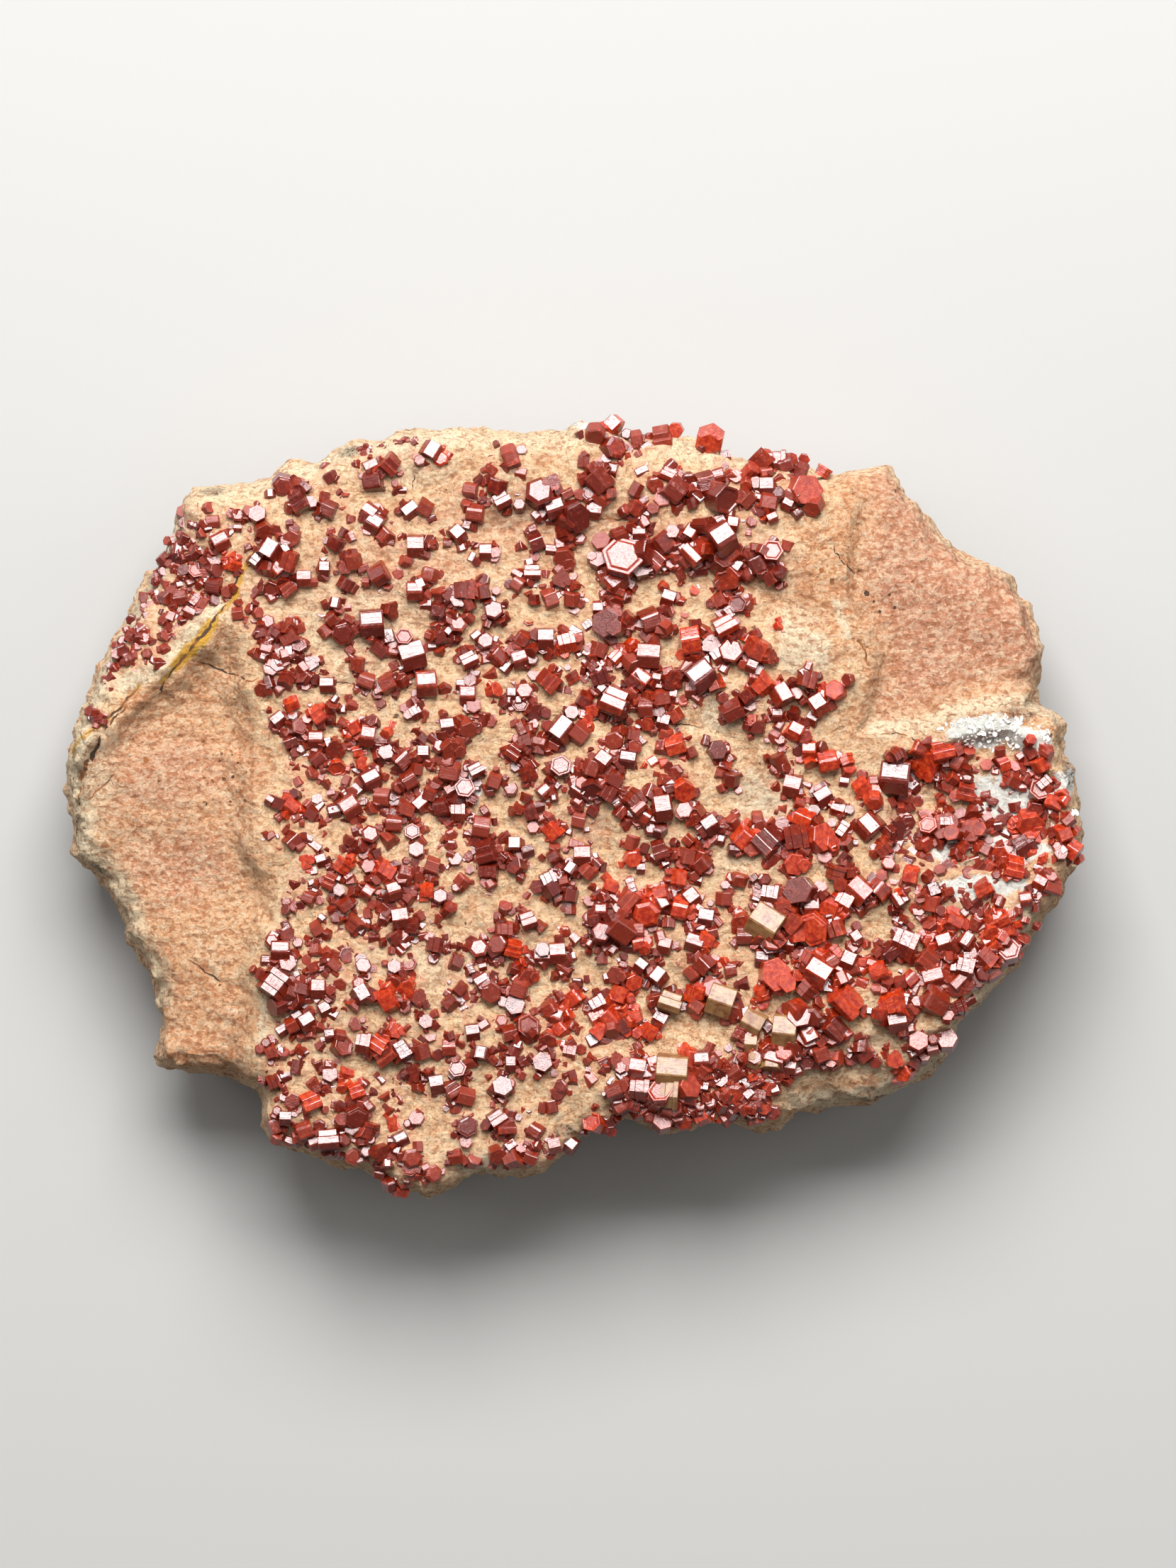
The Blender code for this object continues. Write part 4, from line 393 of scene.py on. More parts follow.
# Where crystals are clear orange-red rather than deep red
CLEAR = [
    (-19.7, 51), (-50, 36.5), (-41.8, 15.7), (-38.1, 13.8), (-32.5, 11.4), (-26.7, 12), (-31.9, 8),
    (-34.9, 5.6), (-41.5, 0.2), (-39.5, -7.9), (-28.1, -9.3), (-33.7, -8.6), (-21.9, -12.6), (-12.9, 16.9),
    (-27.7, -26.9), (-24.7, -26.3), (-26.2, -32.4), (-28.7, -34.2), (-33.6, -39.3), (-32.4, -41),
    (-38.2, -43), (-26.9, -46), (4.9, 55.5), (14.5, 55.5), (19.5, 53.5), (36, 49.7), (-1.6, 23.2),
    (5.7, 22.4), (7.8, 22.8), (16.5, 23.5), (17.4, 31.8), (29.1, 26.6), (37.1, 17.1), (28.5, 17.5),
    (31.7, 10.7), (34.2, 7.4), (37.4, 6), (40, 6), (50.7, 6), (52.9, 8.5), (63.3, 5.6), (42.8, 2.4),
    (36.7, -4), (32.8, -2.3), (24.9, -3.7), (1.7, 12.9), (15.5, 2.3), (11.2, 6.9), (14.8, 8.3),
    (-3.4, -3.8), (5.4, -11.3), (9.6, -13.1), (11.7, -12.6), (10.4, -15.9), (15.3, -10.4), (8.1, -7.7),
    (14.8, -14.6), (16.3, -15.6), (19.1, -19.6), (10, -19.4), (-8.6, -21.3), (21.1, -22), (-0.8, -28.9),
    (8.4, -25.4), (6.2, -27.6), (18, -27.2), (-2.3, -33), (3.9, -31.3), (8.4, -30.3), (11.3, -32.5),
    (9.1, -32.8), (16.2, -35.7), (18.2, -46.2), (1.8, -45.7), (32, -8.5), (33.5, -17.8), (38, -14.2),
    (45.9, -12.2), (29.2, -24), (36.6, -20.7), (42.2, -24), (44.5, -23.5), (38.8, -26.9), (45.6, -29.1),
    (20.5, -45.8), (46.7, -37), (47.3, -39.3), (29.2, -27.7), (26.7, -27.7), (49, -10), (67, -6.7),
    (64, -9), (71, -11.7), (73.3, -6.7), (72.3, -3.7), (67, -3), (64.3, -3), (68, 5.3), (71.3, 0.7),
    (60.7, -18.7), (63.7, -18), (62, -16), (51.3, -18.7), (54, -16.3), (56.2, -16.7), (65.7, -21.8),
]

# Crusts of crystals too many to place one by one: outline, how many, smallest and widest
DRUSES = [
    ([(-59, 44), (-52, 40), (-50, 36), (-55, 29), (-58, 26), (-60, 22), (-63, 19.5), (-68, 23), (-66, 28.5),
      (-61, 37)], 260, 0.9, 2.1),
    ([(-32, 53.2), (-24, 55), (-23, 52.8), (-31, 51)], 34, 0.6, 1.2),
    ([(44, -8), (46, 6), (56, 8), (66, 7), (71, 2), (70, -8), (62, -10), (52, -9)], 200, 0.9, 2.3),
    ([(46, -12), (60, -12), (68, -15), (64, -22), (56, -28), (48, -27)], 170, 1.0, 2.4),
    ([(16, -37), (30, -37), (29, -45), (16, -45)], 110, 1.2, 2.6),
    ([(-17, -1.5), (-11.5, -1.5), (-11.5, -9.5), (-17, -9)], 30, 0.8, 1.6),
    ([(1, -16), (7, -16), (7, -22), (1, -22)], 16, 0.8, 1.6),
    ([(22, -6), (40, -8), (42, 2), (26, -1)], 70, 1.0, 2.4),
    ([(-47, 29), (-40, 27), (-39, 19), (-46, 17)], 60, 1.2, 2.6),
]

# Where the crystals stand thickest, and have twice as many small ones beside them: x, y, reach
CROWDED = [
    (18, 40, 9), (34, -16, 9), (18, -30, 8), (20, -42, 8), (-30, -16, 9), (-41, 12, 6), (-14, 26, 9),
    (-42, -30, 7), (-32, -43, 7), (34, -38, 8), (4, 42, 7), (4, 26, 7), (18, -2, 9), (-42, 20, 6),
    (-44, -16, 6), (-12, 12, 7), (-30, 12, 7),
]

# The small crystals are joined in three pieces, by where they stand along x
SMALL_PIECES = [
    ("small_crystals_left", -99, -22), ("small_crystals_middle", -22, 14), ("small_crystals_right", 14, 99),
]

# Crusts of white barite: outline and how many blades
BARITE = [
    ([(51, 11), (57, 13.3), (63, 13.6), (69, 11.6), (70, 8.5), (63, 8), (56, 8.5)], 190),
    ([(54, 2), (60, 5.5), (68, 5.5), (72, 0), (70, -5), (63, -8), (57, -6)], 260),
    ([(51, -11), (55, -9.5), (61, -13), (64, -16), (58, -15.5)], 90),
    ([(70.5, 6), (72, 2), (73.5, -2), (72, -3), (70, 3)], 60),
    ([(0, 55.5), (3, 56), (2.8, 54.6), (0.2, 54.2)], 16),
]

# Stains and patches of the rock, and painted highlight along its steps and rims
PINK = [RIGHT_SHELF]
PINK_SPOTS = [
    (-60, 5, 14, 8), (-58, -8, 12, 8), (15, 4, 4, 3), (2, -3, 5, 3), (-10, 42, 14, 7), (-27, 34, 20, 8),
    (6, 40, 12, 7), (26, 36, 8, 7),
]
# The oval at (50, 12) lies on the riser of the right shelf's step that faces the key light and is painted
# highlight; the others are cream rock.
CREAM_SPOTS = [
    (-27, 50, 13, 4.5), (-70, 4, 4, 10), (50, 12, 12, 2.6), (32, 28, 7, 3), (-72, -4, 3, 8),
    (-20, -22, 16, 7), (42, -36, 12, 5), (-12, -52, 14, 3.5), (24, -8, 7, 5), (-32, 25, 18, 12),
]
GREEN_SPOTS = [
    (33.5, 22, 6.5, 4), (28, 1.5, 7, 6), (-54.5, 26.5, 2.6, 2), (-65, 18.5, 2.4, 1.6), (21, 14, 5, 4),
]
WHITE_SPOTS = [
    (59, 11, 7, 2.6), (67, 9.5, 3, 2.4), (59, -11.5, 6.5, 2.2), (63, 1, 8, 4.6), (56, -4, 6, 3.4),
    (65, -5.5, 5, 3), (71, 3.4, 2.4, 2.4), (1.5, 56.6, 2, 1.4), (-16, 2, 3, 2),
]
DARK_SPOTS = [
    (-53, 46.3, 3, 1), (-33, 52, 2.6, 1.3), (-1.5, -47, 2, 1.2), (44, -43, 4, 1), (53, -37.5, 3, 1),
    (57, -7.4, 3.4, 1.5), (45.5, -7.5, 2, 2.4), (65, 13.6, 3, 1.4), (72.4, 5, 1.6, 3), (-70, -9, 2.5, 1.6),
    (53, 5.5, 2.4, 1.6),
]
VEIN = [(-47, 37), (-49, 34), (-49.5, 31), (-52, 28.5), (-54, 25), (-57, 22.5), (-58, 21), (-60.5, 18.5)]
EDGE_HIGHLIGHTS = [  # painted highlight along the step crests and painted light that lifts the shaded rims, in pale cream: line, reach
    ([(44, 11.4), (50, 12), (54, 13.8), (60, 15.4), (66.5, 15.4), (71, 13)], 1.5),
    ([(40, 25), (38.6, 28), (38, 30)], 0.8), ([(36, 24), (30, 26.5)], 1.6),
    ([(-45.2, -27), (-45.7, -31), (-45.8, -35)], 0.7),
    ([(-59, 40), (-64, 30), (-69.5, 20), (-73, 10), (-74.5, 1), (-73, -6)], 2.0),
    ([(-52, 29.5), (-56, 25.5), (-59.5, 21.5), (-66, 18)], 1.7),
    ([(66, -15), (62, -24), (56, -32), (53, -37), (44, -42), (32, -43)], 1.8),
    ([(-40, 50), (-33, 52.5), (-26, 53), (-18, 54)], 1.6), ([(-10, -52.5), (-16, -52)], 1.5),
]
VEIN_WEDGE = [(-53, 27), (-55.2, 24.2), (-58.6, 20.8)]
RUSTY_CRACK = [(-63.5, 18), (-66, 15.5), (-68.5, 13), (-72.5, 10), (-74, 8)]
CRACK_LINES = [  # line, greatest width
    ([(-57.5, 21.8), (-55, 21.4), (-51.5, 20), (-48, 18.8), (-45, 18.6)], 0.26),
    ([(-60, 18.8), (-60.6, 17.6), (-61.2, 16)], 0.34),
    ([(-51, 30), (-53.4, 26.4), (-56.8, 22.6), (-60, 18.8)], 0.42),
    ([(-49, 37), (-49.4, 33.6), (-50.6, 30.5)], 0.30),
    ([(-63.5, 18), (-66, 15.6), (-68.5, 13), (-72, 10.4)], 0.36),
    ([(-65, 15.6), (-67.4, 13.2), (-69, 11)], 0.26),
    ([(-69.2, 10.8), (-70.2, 8.6), (-72, 5.6), (-72.6, 3)], 0.55),
    ([(-72.6, 3), (-73, -1), (-73.8, -5)], 0.34), ([(-67.6, 4.8), (-69.8, 2.6), (-72.2, 0.8)], 0.2),
    ([(-38, 18), (-34, 18.4), (-29, 17.4)], 0.2),
    ([(-6, 14), (0, 13), (6, 12.4), (13, 12.4), (19, 11.8)], 0.24),
    ([(2, 42.7), (4.6, 42.2), (7.4, 42.2)], 0.22),
    ([(40.2, 25), (41.6, 24), (42.4, 22), (42.8, 20.4)], 0.26),
    ([(37.4, 38.4), (38.6, 36.4), (40.8, 34.4), (41.6, 33.8)], 0.2), ([(35.4, 37.6), (37.6, 38.4)], 0.2),
    ([(48.8, 10.6), (50, 9.4), (50.8, 8.2)], 0.24), ([(56, 15.6), (57.2, 14.8)], 0.3),
    ([(44, 11), (49, 10.6)], 0.18), ([(57, -15), (59.4, -15.8), (61, -16.8)], 0.22),
    ([(-57, -22), (-54, -24), (-51.5, -26)], 0.24), ([(-24, 46.6), (-23.4, 49)], 0.18),
    ([(31, -24), (34, -25)], 0.18),
]
PITS = [  # small dark holes: x, y, radius
    (-63, 7, 0.34), (-54.6, 9.8, 0.26), (-55.4, 7, 0.2), (-54.4, 4.4, 0.24), (-53.2, 3.9, 0.26),
    (-52.2, 6.9, 0.2), (-51.6, 4.2, 0.28), (-50.9, 2.8, 0.2), (-50.2, 4.5, 0.24), (-49.1, 2.4, 0.26),
    (-48.4, 1.1, 0.2), (-54.3, 0.7, 0.3), (-50.6, 0.9, 0.18), (-49.4, 6.6, 0.18), (-51.9, 7.9, 0.18),
    (-48.2, 5.2, 0.16), (37.4, 33, 0.36), (35.8, 34.7, 0.3), (42.6, 31.4, 0.34), (41.5, 34.8, 0.24),
    (43.6, 30.2, 0.2), (45.9, 31.2, 0.2), (46.6, 29.3, 0.18), (44.4, 28.7, 0.2), (49.2, 33.2, 0.24),
    (35.4, 43, 0.3),
]


def stream(index):
    """Random numbers that depend only on which crystal asks."""
    return random.Random(SEED * 100003 + index)


def line_distance(x, y, line):
    """Distance of points to an open line."""
    nearest = np.full(np.shape(x), np.inf)
    for (ax, ay), (bx, by) in zip(line, line[1:]):
        ex, ey = bx - ax, by - ay
        along = np.clip(((x - ax) * ex + (y - ay) * ey) / (ex * ex + ey * ey), 0, 1)
        nearest = np.minimum(nearest, np.hypot(x - ax - along * ex, y - ay - along * ey))
    return nearest


def edge_distance(x, y, polygon):
    """Distance of points to a closed polygon's edge, positive inside."""
    closed = polygon + polygon[:1]
    within = np.zeros(np.shape(x), bool)
    for (ax, ay), (bx, by) in zip(closed, closed[1:]):
        if ay != by:
            crosses = (ay > y) != (by > y)
            within ^= crosses & (x < ax + (y - ay) * (bx - ax) / (by - ay))
    nearest = line_distance(x, y, closed)
    return np.where(within, nearest, -nearest)


def line_mask(x, y, line, reach):
    """1 on a line, fading to nothing within about two reaches of it."""
    return np.exp(-((line_distance(x, y, line) / reach) ** 2))


def eased(t):
    t = np.clip(t, 0, 1)
    return t * t * (3 - 2 * t)


def relief(x, y):
    """Height of the slab's face above the resting flat, in millimetres."""
    x, y = np.asarray(x, float), np.asarray(y, float)
    height = FACE_HEIGHT + 0.6 * np.sin(x / 13 + 1.1) * np.cos(y / 9 - 0.6) + 0.35 * np.sin(y / 3.4 + x / 11)
    for polygon, depth, wall, slope, deepest in SUNK:
        inside = np.maximum(edge_distance(x, y, polygon), 0)
        height = height - np.minimum(depth * eased(inside / wall) + slope * inside, deepest)
    for cx, cy, rx, ry, rise in MOUNDS:
        height = height + rise * np.exp(-(((x - cx) / rx) ** 2) - ((y - cy) / ry) ** 2)
    rim = np.clip(1 - np.maximum(edge_distance(x, y, OUTLINE), 0) / RIM_WIDTH, 0, 1)
    return height - RIM_DROP * rim**2


def leaning(tilt, towards):
    """Unit vector that leans from +Z by tilt degrees towards that direction."""
    tilt, towards = math.radians(tilt), math.radians(towards)
    return Vector((math.sin(tilt) * math.cos(towards), math.sin(tilt) * math.sin(towards), math.cos(tilt)))


class Crystal:
    """Where one hexagonal prism stands and how it looks."""

    def __init__(self, face_at, out, along, width, length, cap_out, kind="small"):
        side = along.cross(out).normalized()
        self.axis, self.across = (out, along) if cap_out else (along, side)
        self.up = self.axis.cross(self.across).normalized()
        self.middle = face_at - out * (length / 2 if cap_out else width * math.sqrt(3) / 4)
        self.width, self.length, self.kind, self.cap_out = width, length, kind, cap_out
        self.coated = 0.0

    def matrix(self):
        turn = Matrix((-self.up, self.across, self.axis)).transposed().to_4x4()
        size = Matrix.Diagonal((self.width, self.width, self.length, 1))
        return Matrix.Translation(self.middle) @ turn @ size


def placed_crystals():
    """Every crystal of the lists, the widest first, set as in the solids."""
    sides = BRIGHT_SIDES + BROWN_SIDES
    bright = [(x, y, face * SIDE_TO_WIDTH, turn, "bright side") for x, y, face, turn in sides]
    rows = bright + [(x, y, width, 0, "bright cap") for x, y, width in BRIGHT_CAPS]
    rows += [(x, y, width, 0, "cap") for x, y, width in CAPS]
    rows += [(x, y, width, turn, "side") for x, y, width, turn in SIDES]
    order = sorted(range(len(rows)), key=lambda i: -rows[i][2])
    ground = relief([r[0] for r in rows], [r[1] for r in rows])
    tops, made = [], []
    for i in order:
        x, y, width, turn, pose = rows[i]
        dice = stream(LARGE_DRAWS + i)
        if pose.startswith("bright"):
            out = leaning(BRIGHT_TILT + dice.uniform(-4, 4), 90 + dice.uniform(-12, 12))
        elif pose == "cap":
            out = leaning(dice.uniform(14, 38), dice.uniform(150, 390))
        else:
            out = leaning(dice.uniform(8, 26), dice.uniform(160, 380))
        if "cap" in pose:
            turn = dice.uniform(0, 60)
        along = Vector((math.cos(math.radians(turn)), math.sin(math.radians(turn)), 0))
        along = (along - out * along.dot(out)).normalized()
        length = width * (dice.uniform(0.62, 0.8) if "cap" in pose else dice.uniform(0.6, 0.85))
        stands = (0.5 if "cap" in pose else 0.56) * width
        height = float(ground[i]) + stands
        for tx, ty, reach, top in tops:
            if math.hypot(x - tx, y - ty) < reach:
                height = max(height, top + 0.12 * width)
        height = min(height, float(ground[i]) + stands + 2.6)
        tops.append((x, y, 0.42 * width, height))
        made.append(Crystal(Vector((x, y, height)), out, along, width, length, "cap" in pose, pose))
        made[-1].coated = 1.0 if len(BRIGHT_SIDES) <= i < len(bright) else 0.0
    return made


def seated(x, y, width, dice, lift=0.42):
    """A small crystal on the face: a few face the light as the bright ones do, the rest lean at random."""
    out = leaning(dice.uniform(4, 50), dice.uniform(0, 360))
    if dice.random() < FACING_SHARE:
        out = leaning(BRIGHT_TILT + dice.uniform(-5, 5), 90 + dice.uniform(-14, 14))
    turn = dice.uniform(0, 2 * math.pi)
    along = Vector((math.cos(turn), math.sin(turn), 0))
    along = (along - out * along.dot(out)).normalized()
    ground = float(relief(x, y))
    length = width * dice.uniform(0.6, 1.0)
    return Crystal(Vector((x, y, ground + lift * width)), out, along, width, length, dice.random() < 0.4)


def beside(crystal, dice):
    """Small crystals that nestle against a large one."""
    made = []
    for _ in range(dice.choice((3, 4, 5, 5, 6, 7))):
        bearing = dice.uniform(0, 2 * math.pi)
        reach = crystal.width * dice.uniform(0.42, 0.72)
        x = crystal.middle.x + reach * math.cos(bearing)
        y = crystal.middle.y + reach * math.sin(bearing)
        if edge_distance(x, y, OUTLINE) > BESIDE_CLEARANCE:
            width = dice.uniform(0.3, 0.68) * crystal.width
            made.append(seated(x, y, width, dice, dice.uniform(0.3, 0.8)))
    return made


def bridging(first, second, dice):
    """Small crystals that fill the gap between two large ones that stand close."""
    gap = first.middle - second.middle
    between = math.hypot(gap.x, gap.y) - (first.width + second.width) / 2
    if between > WIDEST_BRIDGE or between < -0.4 * min(first.width, second.width):
        return []
    made = []
    for _ in range(dice.choice((1, 1, 2))):
        share = dice.uniform(0.35, 0.65)
        x = second.middle.x + gap.x * share + dice.uniform(-0.7, 0.7)
        y = second.middle.y + gap.y * share + dice.uniform(-0.7, 0.7)
        width = dice.uniform(0.4, 0.62) * min(first.width, second.width)
        made.append(seated(x, y, width, dice, dice.uniform(0.3, 0.6)))
    return made


def small_crystals(large):
    """The listed small crystals, those between and beside large ones, and the crusts."""
    made = []
    for i, (x, y, width) in enumerate(SMALL):
        listed = seated(x, y, width, stream(LISTED_DRAWS + i))
        made += [listed] + beside(listed, stream(BESIDE_LISTED_DRAWS + i))[:3]
    for i, crystal in enumerate(large):
        dice = stream(BESIDE_LARGE_DRAWS + i)
        made += beside(crystal, dice)
        if any(math.hypot(crystal.middle.x - x, crystal.middle.y - y) < reach for x, y, reach in CROWDED):
            made += beside(crystal, stream(CROWDED_DRAWS + i))
        for other in large[:i]:
            made += bridging(crystal, other, dice)
    for i, (polygon, count, smallest, widest) in enumerate(DRUSES):
        dice = stream(CRUST_DRAWS + i)
        for x, y in scattered(polygon, count, dice):
            made.append(seated(x, y, dice.uniform(smallest, widest), dice, dice.uniform(0.3, 0.7)))
    return made


def scattered(polygon, count, dice):
    """Random places in a polygon, clear of the slab's edge."""
    xs, ys = [p[0] for p in polygon], [p[1] for p in polygon]
    places = []
    while len(places) < count:
        x, y = dice.uniform(min(xs), max(xs)), dice.uniform(min(ys), max(ys))
        if edge_distance(x, y, polygon) > 0 and edge_distance(x, y, OUTLINE) > RIM_CLEARANCE:
            places.append((x, y))
    return places


def select_only(obj):
    """Makes obj the one selected and active object."""
    bpy.ops.object.select_all(action="DESELECT")
    obj.select_set(True)
    bpy.context.view_layer.objects.active = obj


def apply_modifiers(obj):
    select_only(obj)
    for modifier in list(obj.modifiers):
        bpy.ops.object.modifier_apply(modifier=modifier.name)


def turn_outward(obj):
    """Makes every face of a closed object point outwards."""
    select_only(obj)
    bpy.ops.object.mode_set(mode="EDIT")
    bpy.ops.mesh.select_all(action="SELECT")
    bpy.ops.mesh.normals_make_consistent(inside=False)
    bpy.ops.object.mode_set(mode="OBJECT")


def points_of(mesh):
    """A mesh's points, a row for each."""
    flat = np.zeros(len(mesh.vertices) * 3)
    mesh.vertices.foreach_get("co", flat)
    return flat.reshape(-1, 3)


def surface_of(obj, unit=1.0):
    """An object's surface to cast rays at, with its points divided by a unit of length."""
    corners = [v.co / unit for v in obj.data.vertices]
    return bvhtree.BVHTree.FromPolygons(corners, [tuple(p.vertices) for p in obj.data.polygons])


def taken_apart(seed):
    """A seed's points and faces, to be copied. The seed itself goes."""
    points = points_of(seed.data)
    faces = [tuple(p.vertices) for p in seed.data.polygons]
    bpy.data.objects.remove(seed)
    return points, faces


def new_piece(name, points, faces, finish):
    """An object made of points in metres and of faces, with its material."""
    mesh = bpy.data.meshes.new(name)
    mesh.from_pydata(points, [], faces)
    mesh.materials.append(finish)
    piece = bpy.data.objects.new(name, mesh)
    bpy.context.scene.collection.objects.link(piece)
    return piece


def side_profile(share, bearing):
    """How far the slab reaches at a share of its height, against its outline."""
    heights = [0, LOW_SHARE, WIDEST_SHARE, 1]
    reaches = [BASE_SCALE, LOW_EDGE_SCALE, 1.0, TOP_EDGE_SCALE]
    reach = np.interp(share, heights, reaches)
    swing = 0.6 * np.sin(3 * bearing + 1.7) + 0.4 * np.sin(8 * bearing + 3.8)
    low = np.clip(1 - np.abs(share - LOW_SHARE) / 0.3, 0, 1)
    return reach - low * SIDE_SWING * swing


def fractal(point, size, octaves=4):
    return noise.fractal(point / size, 1.0, 2.0, octaves)


def strayed(x, y, size):
    """Sideways wander of points, so that a straight step breaks ragged."""
    return np.array([noise.noise_vector(Vector((u, v, 0)) / size) for u, v in zip(x, y)])


def make_rock(crystals):
    """The slab: a straight-walled blank in the outline's shape, remeshed fine and then sculpted."""
    bpy.ops.object.select_all(action="DESELECT")
    bpy.ops.mesh.primitive_circle_add(vertices=len(OUTLINE), radius=70 * MM, fill_type="NGON")
    rock = bpy.context.object
    rock.name = "rock_slab"
    for vertex, (x, y) in zip(rock.data.vertices, OUTLINE):
        vertex.co = (x * MM, y * MM, 0)
    bpy.ops.object.mode_set(mode="EDIT")
    bpy.ops.mesh.select_all(action="SELECT")
    bpy.ops.mesh.extrude_region_move(TRANSFORM_OT_translate={"value": (0, 0, FACE_HEIGHT * MM)})
    bpy.ops.object.mode_set(mode="OBJECT")
    turn_outward(rock)
    remesh = rock.modifiers.new("remesh", "REMESH")
    remesh.mode = "VOXEL"
    remesh.voxel_size = ROCK_VOXEL * MM
    apply_modifiers(rock)
    put_in_order(rock.data)
    sculpt_slab(rock.data, crystals)
    thin = rock.modifiers.new("thin", "DECIMATE")
    rock.data.calc_loop_triangles()
    thin.ratio = min(1, ROCK_TRIANGLES / len(rock.data.loop_triangles))
    apply_modifiers(rock)
    paint_stains_and_light(rock.data, crystals)
    select_only(rock)
    bpy.ops.object.shade_smooth_by_angle(angle=math.radians(38))
    rock.data.materials.clear()
    rock.data.materials.append(rock_finish())
    return rock


def put_in_order(mesh):
    """Numbers points and faces by where they are, since some tools number them anew in each run."""
    points = points_of(mesh)
    order = np.lexsort(np.round(points, 8).T)
    rank = np.empty(len(order), int)
    rank[order] = np.arange(len(order))
    faces = []
    for face in mesh.polygons:
        corners = [int(rank[i]) for i in face.vertices]
        first = corners.index(min(corners))
        faces.append(corners[first:] + corners[:first])
    mesh.clear_geometry()
    mesh.from_pydata(points[order], [], sorted(faces))


def sculpt_slab(mesh, crystals):
    """Gives the straight-walled blank the slab's broken sides and relief, then roughens it."""
    x, y, z = points_of(mesh).T / MM
    share = np.clip(z / FACE_HEIGHT, 0, 1)
    reach = side_profile(share, np.arctan2(y, x))
    near_wall = 1 - np.clip(edge_distance(x, y, OUTLINE), 0, 4) / 4
    x, y = x * reach, y * reach
    stray = STEP_STRAY * strayed(x, y, 5.0) + 0.4 * STEP_STRAY * strayed(x, y, 1.6)
    z = share * relief(x + stray[:, 0], y + stray[:, 1])
    z += np.where(share > FACE_SHARE, SOCKET_RISE * near_crystals(x, y, crystals, 1.6), 0)
    for i in np.flatnonzero(share >= FLAT_SHARE):
        p = Vector((x[i], y[i], z[i]))
        lumps = 0.36 * fractal(p, 7.0) + 0.17 * fractal(p, 1.8)
        grain = 0.10 * noise.noise(p / 0.9)
        broken = noise.ridged_multi_fractal(p / 9.0, 1.0, 2.0, 4, 1.0, 2.0) - 1.05
        z[i] += (lumps + grain) * min(1.0, share[i] * 3) * (1.0 if share[i] > FACE_SHARE else 0.35)
        push = near_wall[i] * min(1.0, share[i] * 5) * (0.7 * broken + lumps + 0.7 * fractal(p, 2.4))
        length = math.hypot(x[i], y[i]) + 1e-6
        x[i] += push * x[i] / length
        y[i] += push * y[i] / length
    for line, widest in CRACK_LINES:
        z -= np.where(share > FACE_SHARE, widest * line_mask(x, y, line, 0.7), 0)
    z = np.where(share < FLAT_SHARE, 0, np.maximum(z, 0))
    mesh.vertices.foreach_set("co", (np.column_stack((x, y, z)) * MM).ravel())
    mesh.update()


def make_cracks(rock, finish):
    """Thin dark wedges let into the rock along the listed cracks, with ragged edges, and dark pits."""
    surface = surface_of(rock)
    points, faces = [], []
    for number, (line, widest) in enumerate(CRACK_LINES):
        path = ragged_path(line, number)
        start = len(points)
        for i, spot in enumerate(path):
            ahead = path[min(i + 1, len(path) - 1)] - path[max(i - 1, 0)]
            side = Vector((-ahead.y, ahead.x, 0)).normalized()
            taper = min(1.0, 0.15 + 4 * min(i, len(path) - 1 - i) / len(path))
            half = widest / 2 * taper * (1 + 0.7 * noise.noise(spot / 0.8))
            for reach, depth in ((-half, 0.03), (half, 0.03), (0, -0.6 * widest)):
                points.append(on_rock(surface, spot + side * reach, depth))
        for i in range(len(path) - 1):
            a = start + 3 * i
            faces += [(a, a + 1, a + 4, a + 3), (a + 1, a + 2, a + 5, a + 4), (a + 2, a, a + 3, a + 5)]
        last = start + 3 * (len(path) - 1)
        faces += [(start, start + 2, start + 1), (last, last + 1, last + 2)]
    for number, (x, y, radius) in enumerate(PITS):
        dice = stream(PIT_DRAWS + number)
        start = len(points)
        for i in range(PIT_SIDES):
            turn = Matrix.Rotation(i * 2 * math.pi / PIT_SIDES, 3, "Z")
            rim = Vector((x, y, 0)) + turn @ Vector((radius * dice.uniform(0.9, 1.6), 0, 0))
            points.append(on_rock(surface, rim, 0.03))
        points.append(on_rock(surface, Vector((x, y, 0)), -radius))
        tip = start + PIT_SIDES
        faces.append(tuple(range(start, tip)))
        faces += [(start + (i + 1) % PIT_SIDES, start + i, tip) for i in range(PIT_SIDES)]
    cracks = new_piece("cracks", points, faces, finish)
    turn_outward(cracks)
    return cracks


def on_rock(surface, spot, rise):
    """The point of the rock's face above a place, raised or sunk by some millimetres."""
    hit = surface.ray_cast(Vector((spot.x * MM, spot.y * MM, 0.1)), Vector((0, 0, -1)))[0]
    return spot.x * MM, spot.y * MM, (hit.z if hit else FACE_HEIGHT * MM) + rise * MM


def ragged_path(line, number):
    """A line's points at short steps, shaken sideways in jags."""
    path = []
    for (ax, ay), (bx, by) in zip(line, line[1:]):
        steps = max(1, round(math.hypot(bx - ax, by - ay) / CRACK_STEP))
        for i in range(steps):
            spot = Vector((ax + (bx - ax) * i / steps, ay + (by - ay) * i / steps, number))
            shake = noise.noise_vector(spot / 1.3) * 0.45 + noise.noise_vector(spot / 0.5) * 0.16
            path.append(Vector((spot.x + shake.x, spot.y + shake.y, 0)))
    return path


def spot_mask(x, y, spots):
    """Soft ovals: 1 in the middle, 0 outside."""
    mask = np.zeros(np.shape(x))
    for cx, cy, rx, ry in spots:
        mask = np.maximum(mask, np.exp(-(((x - cx) / rx) ** 2) - ((y - cy) / ry) ** 2))
    return mask


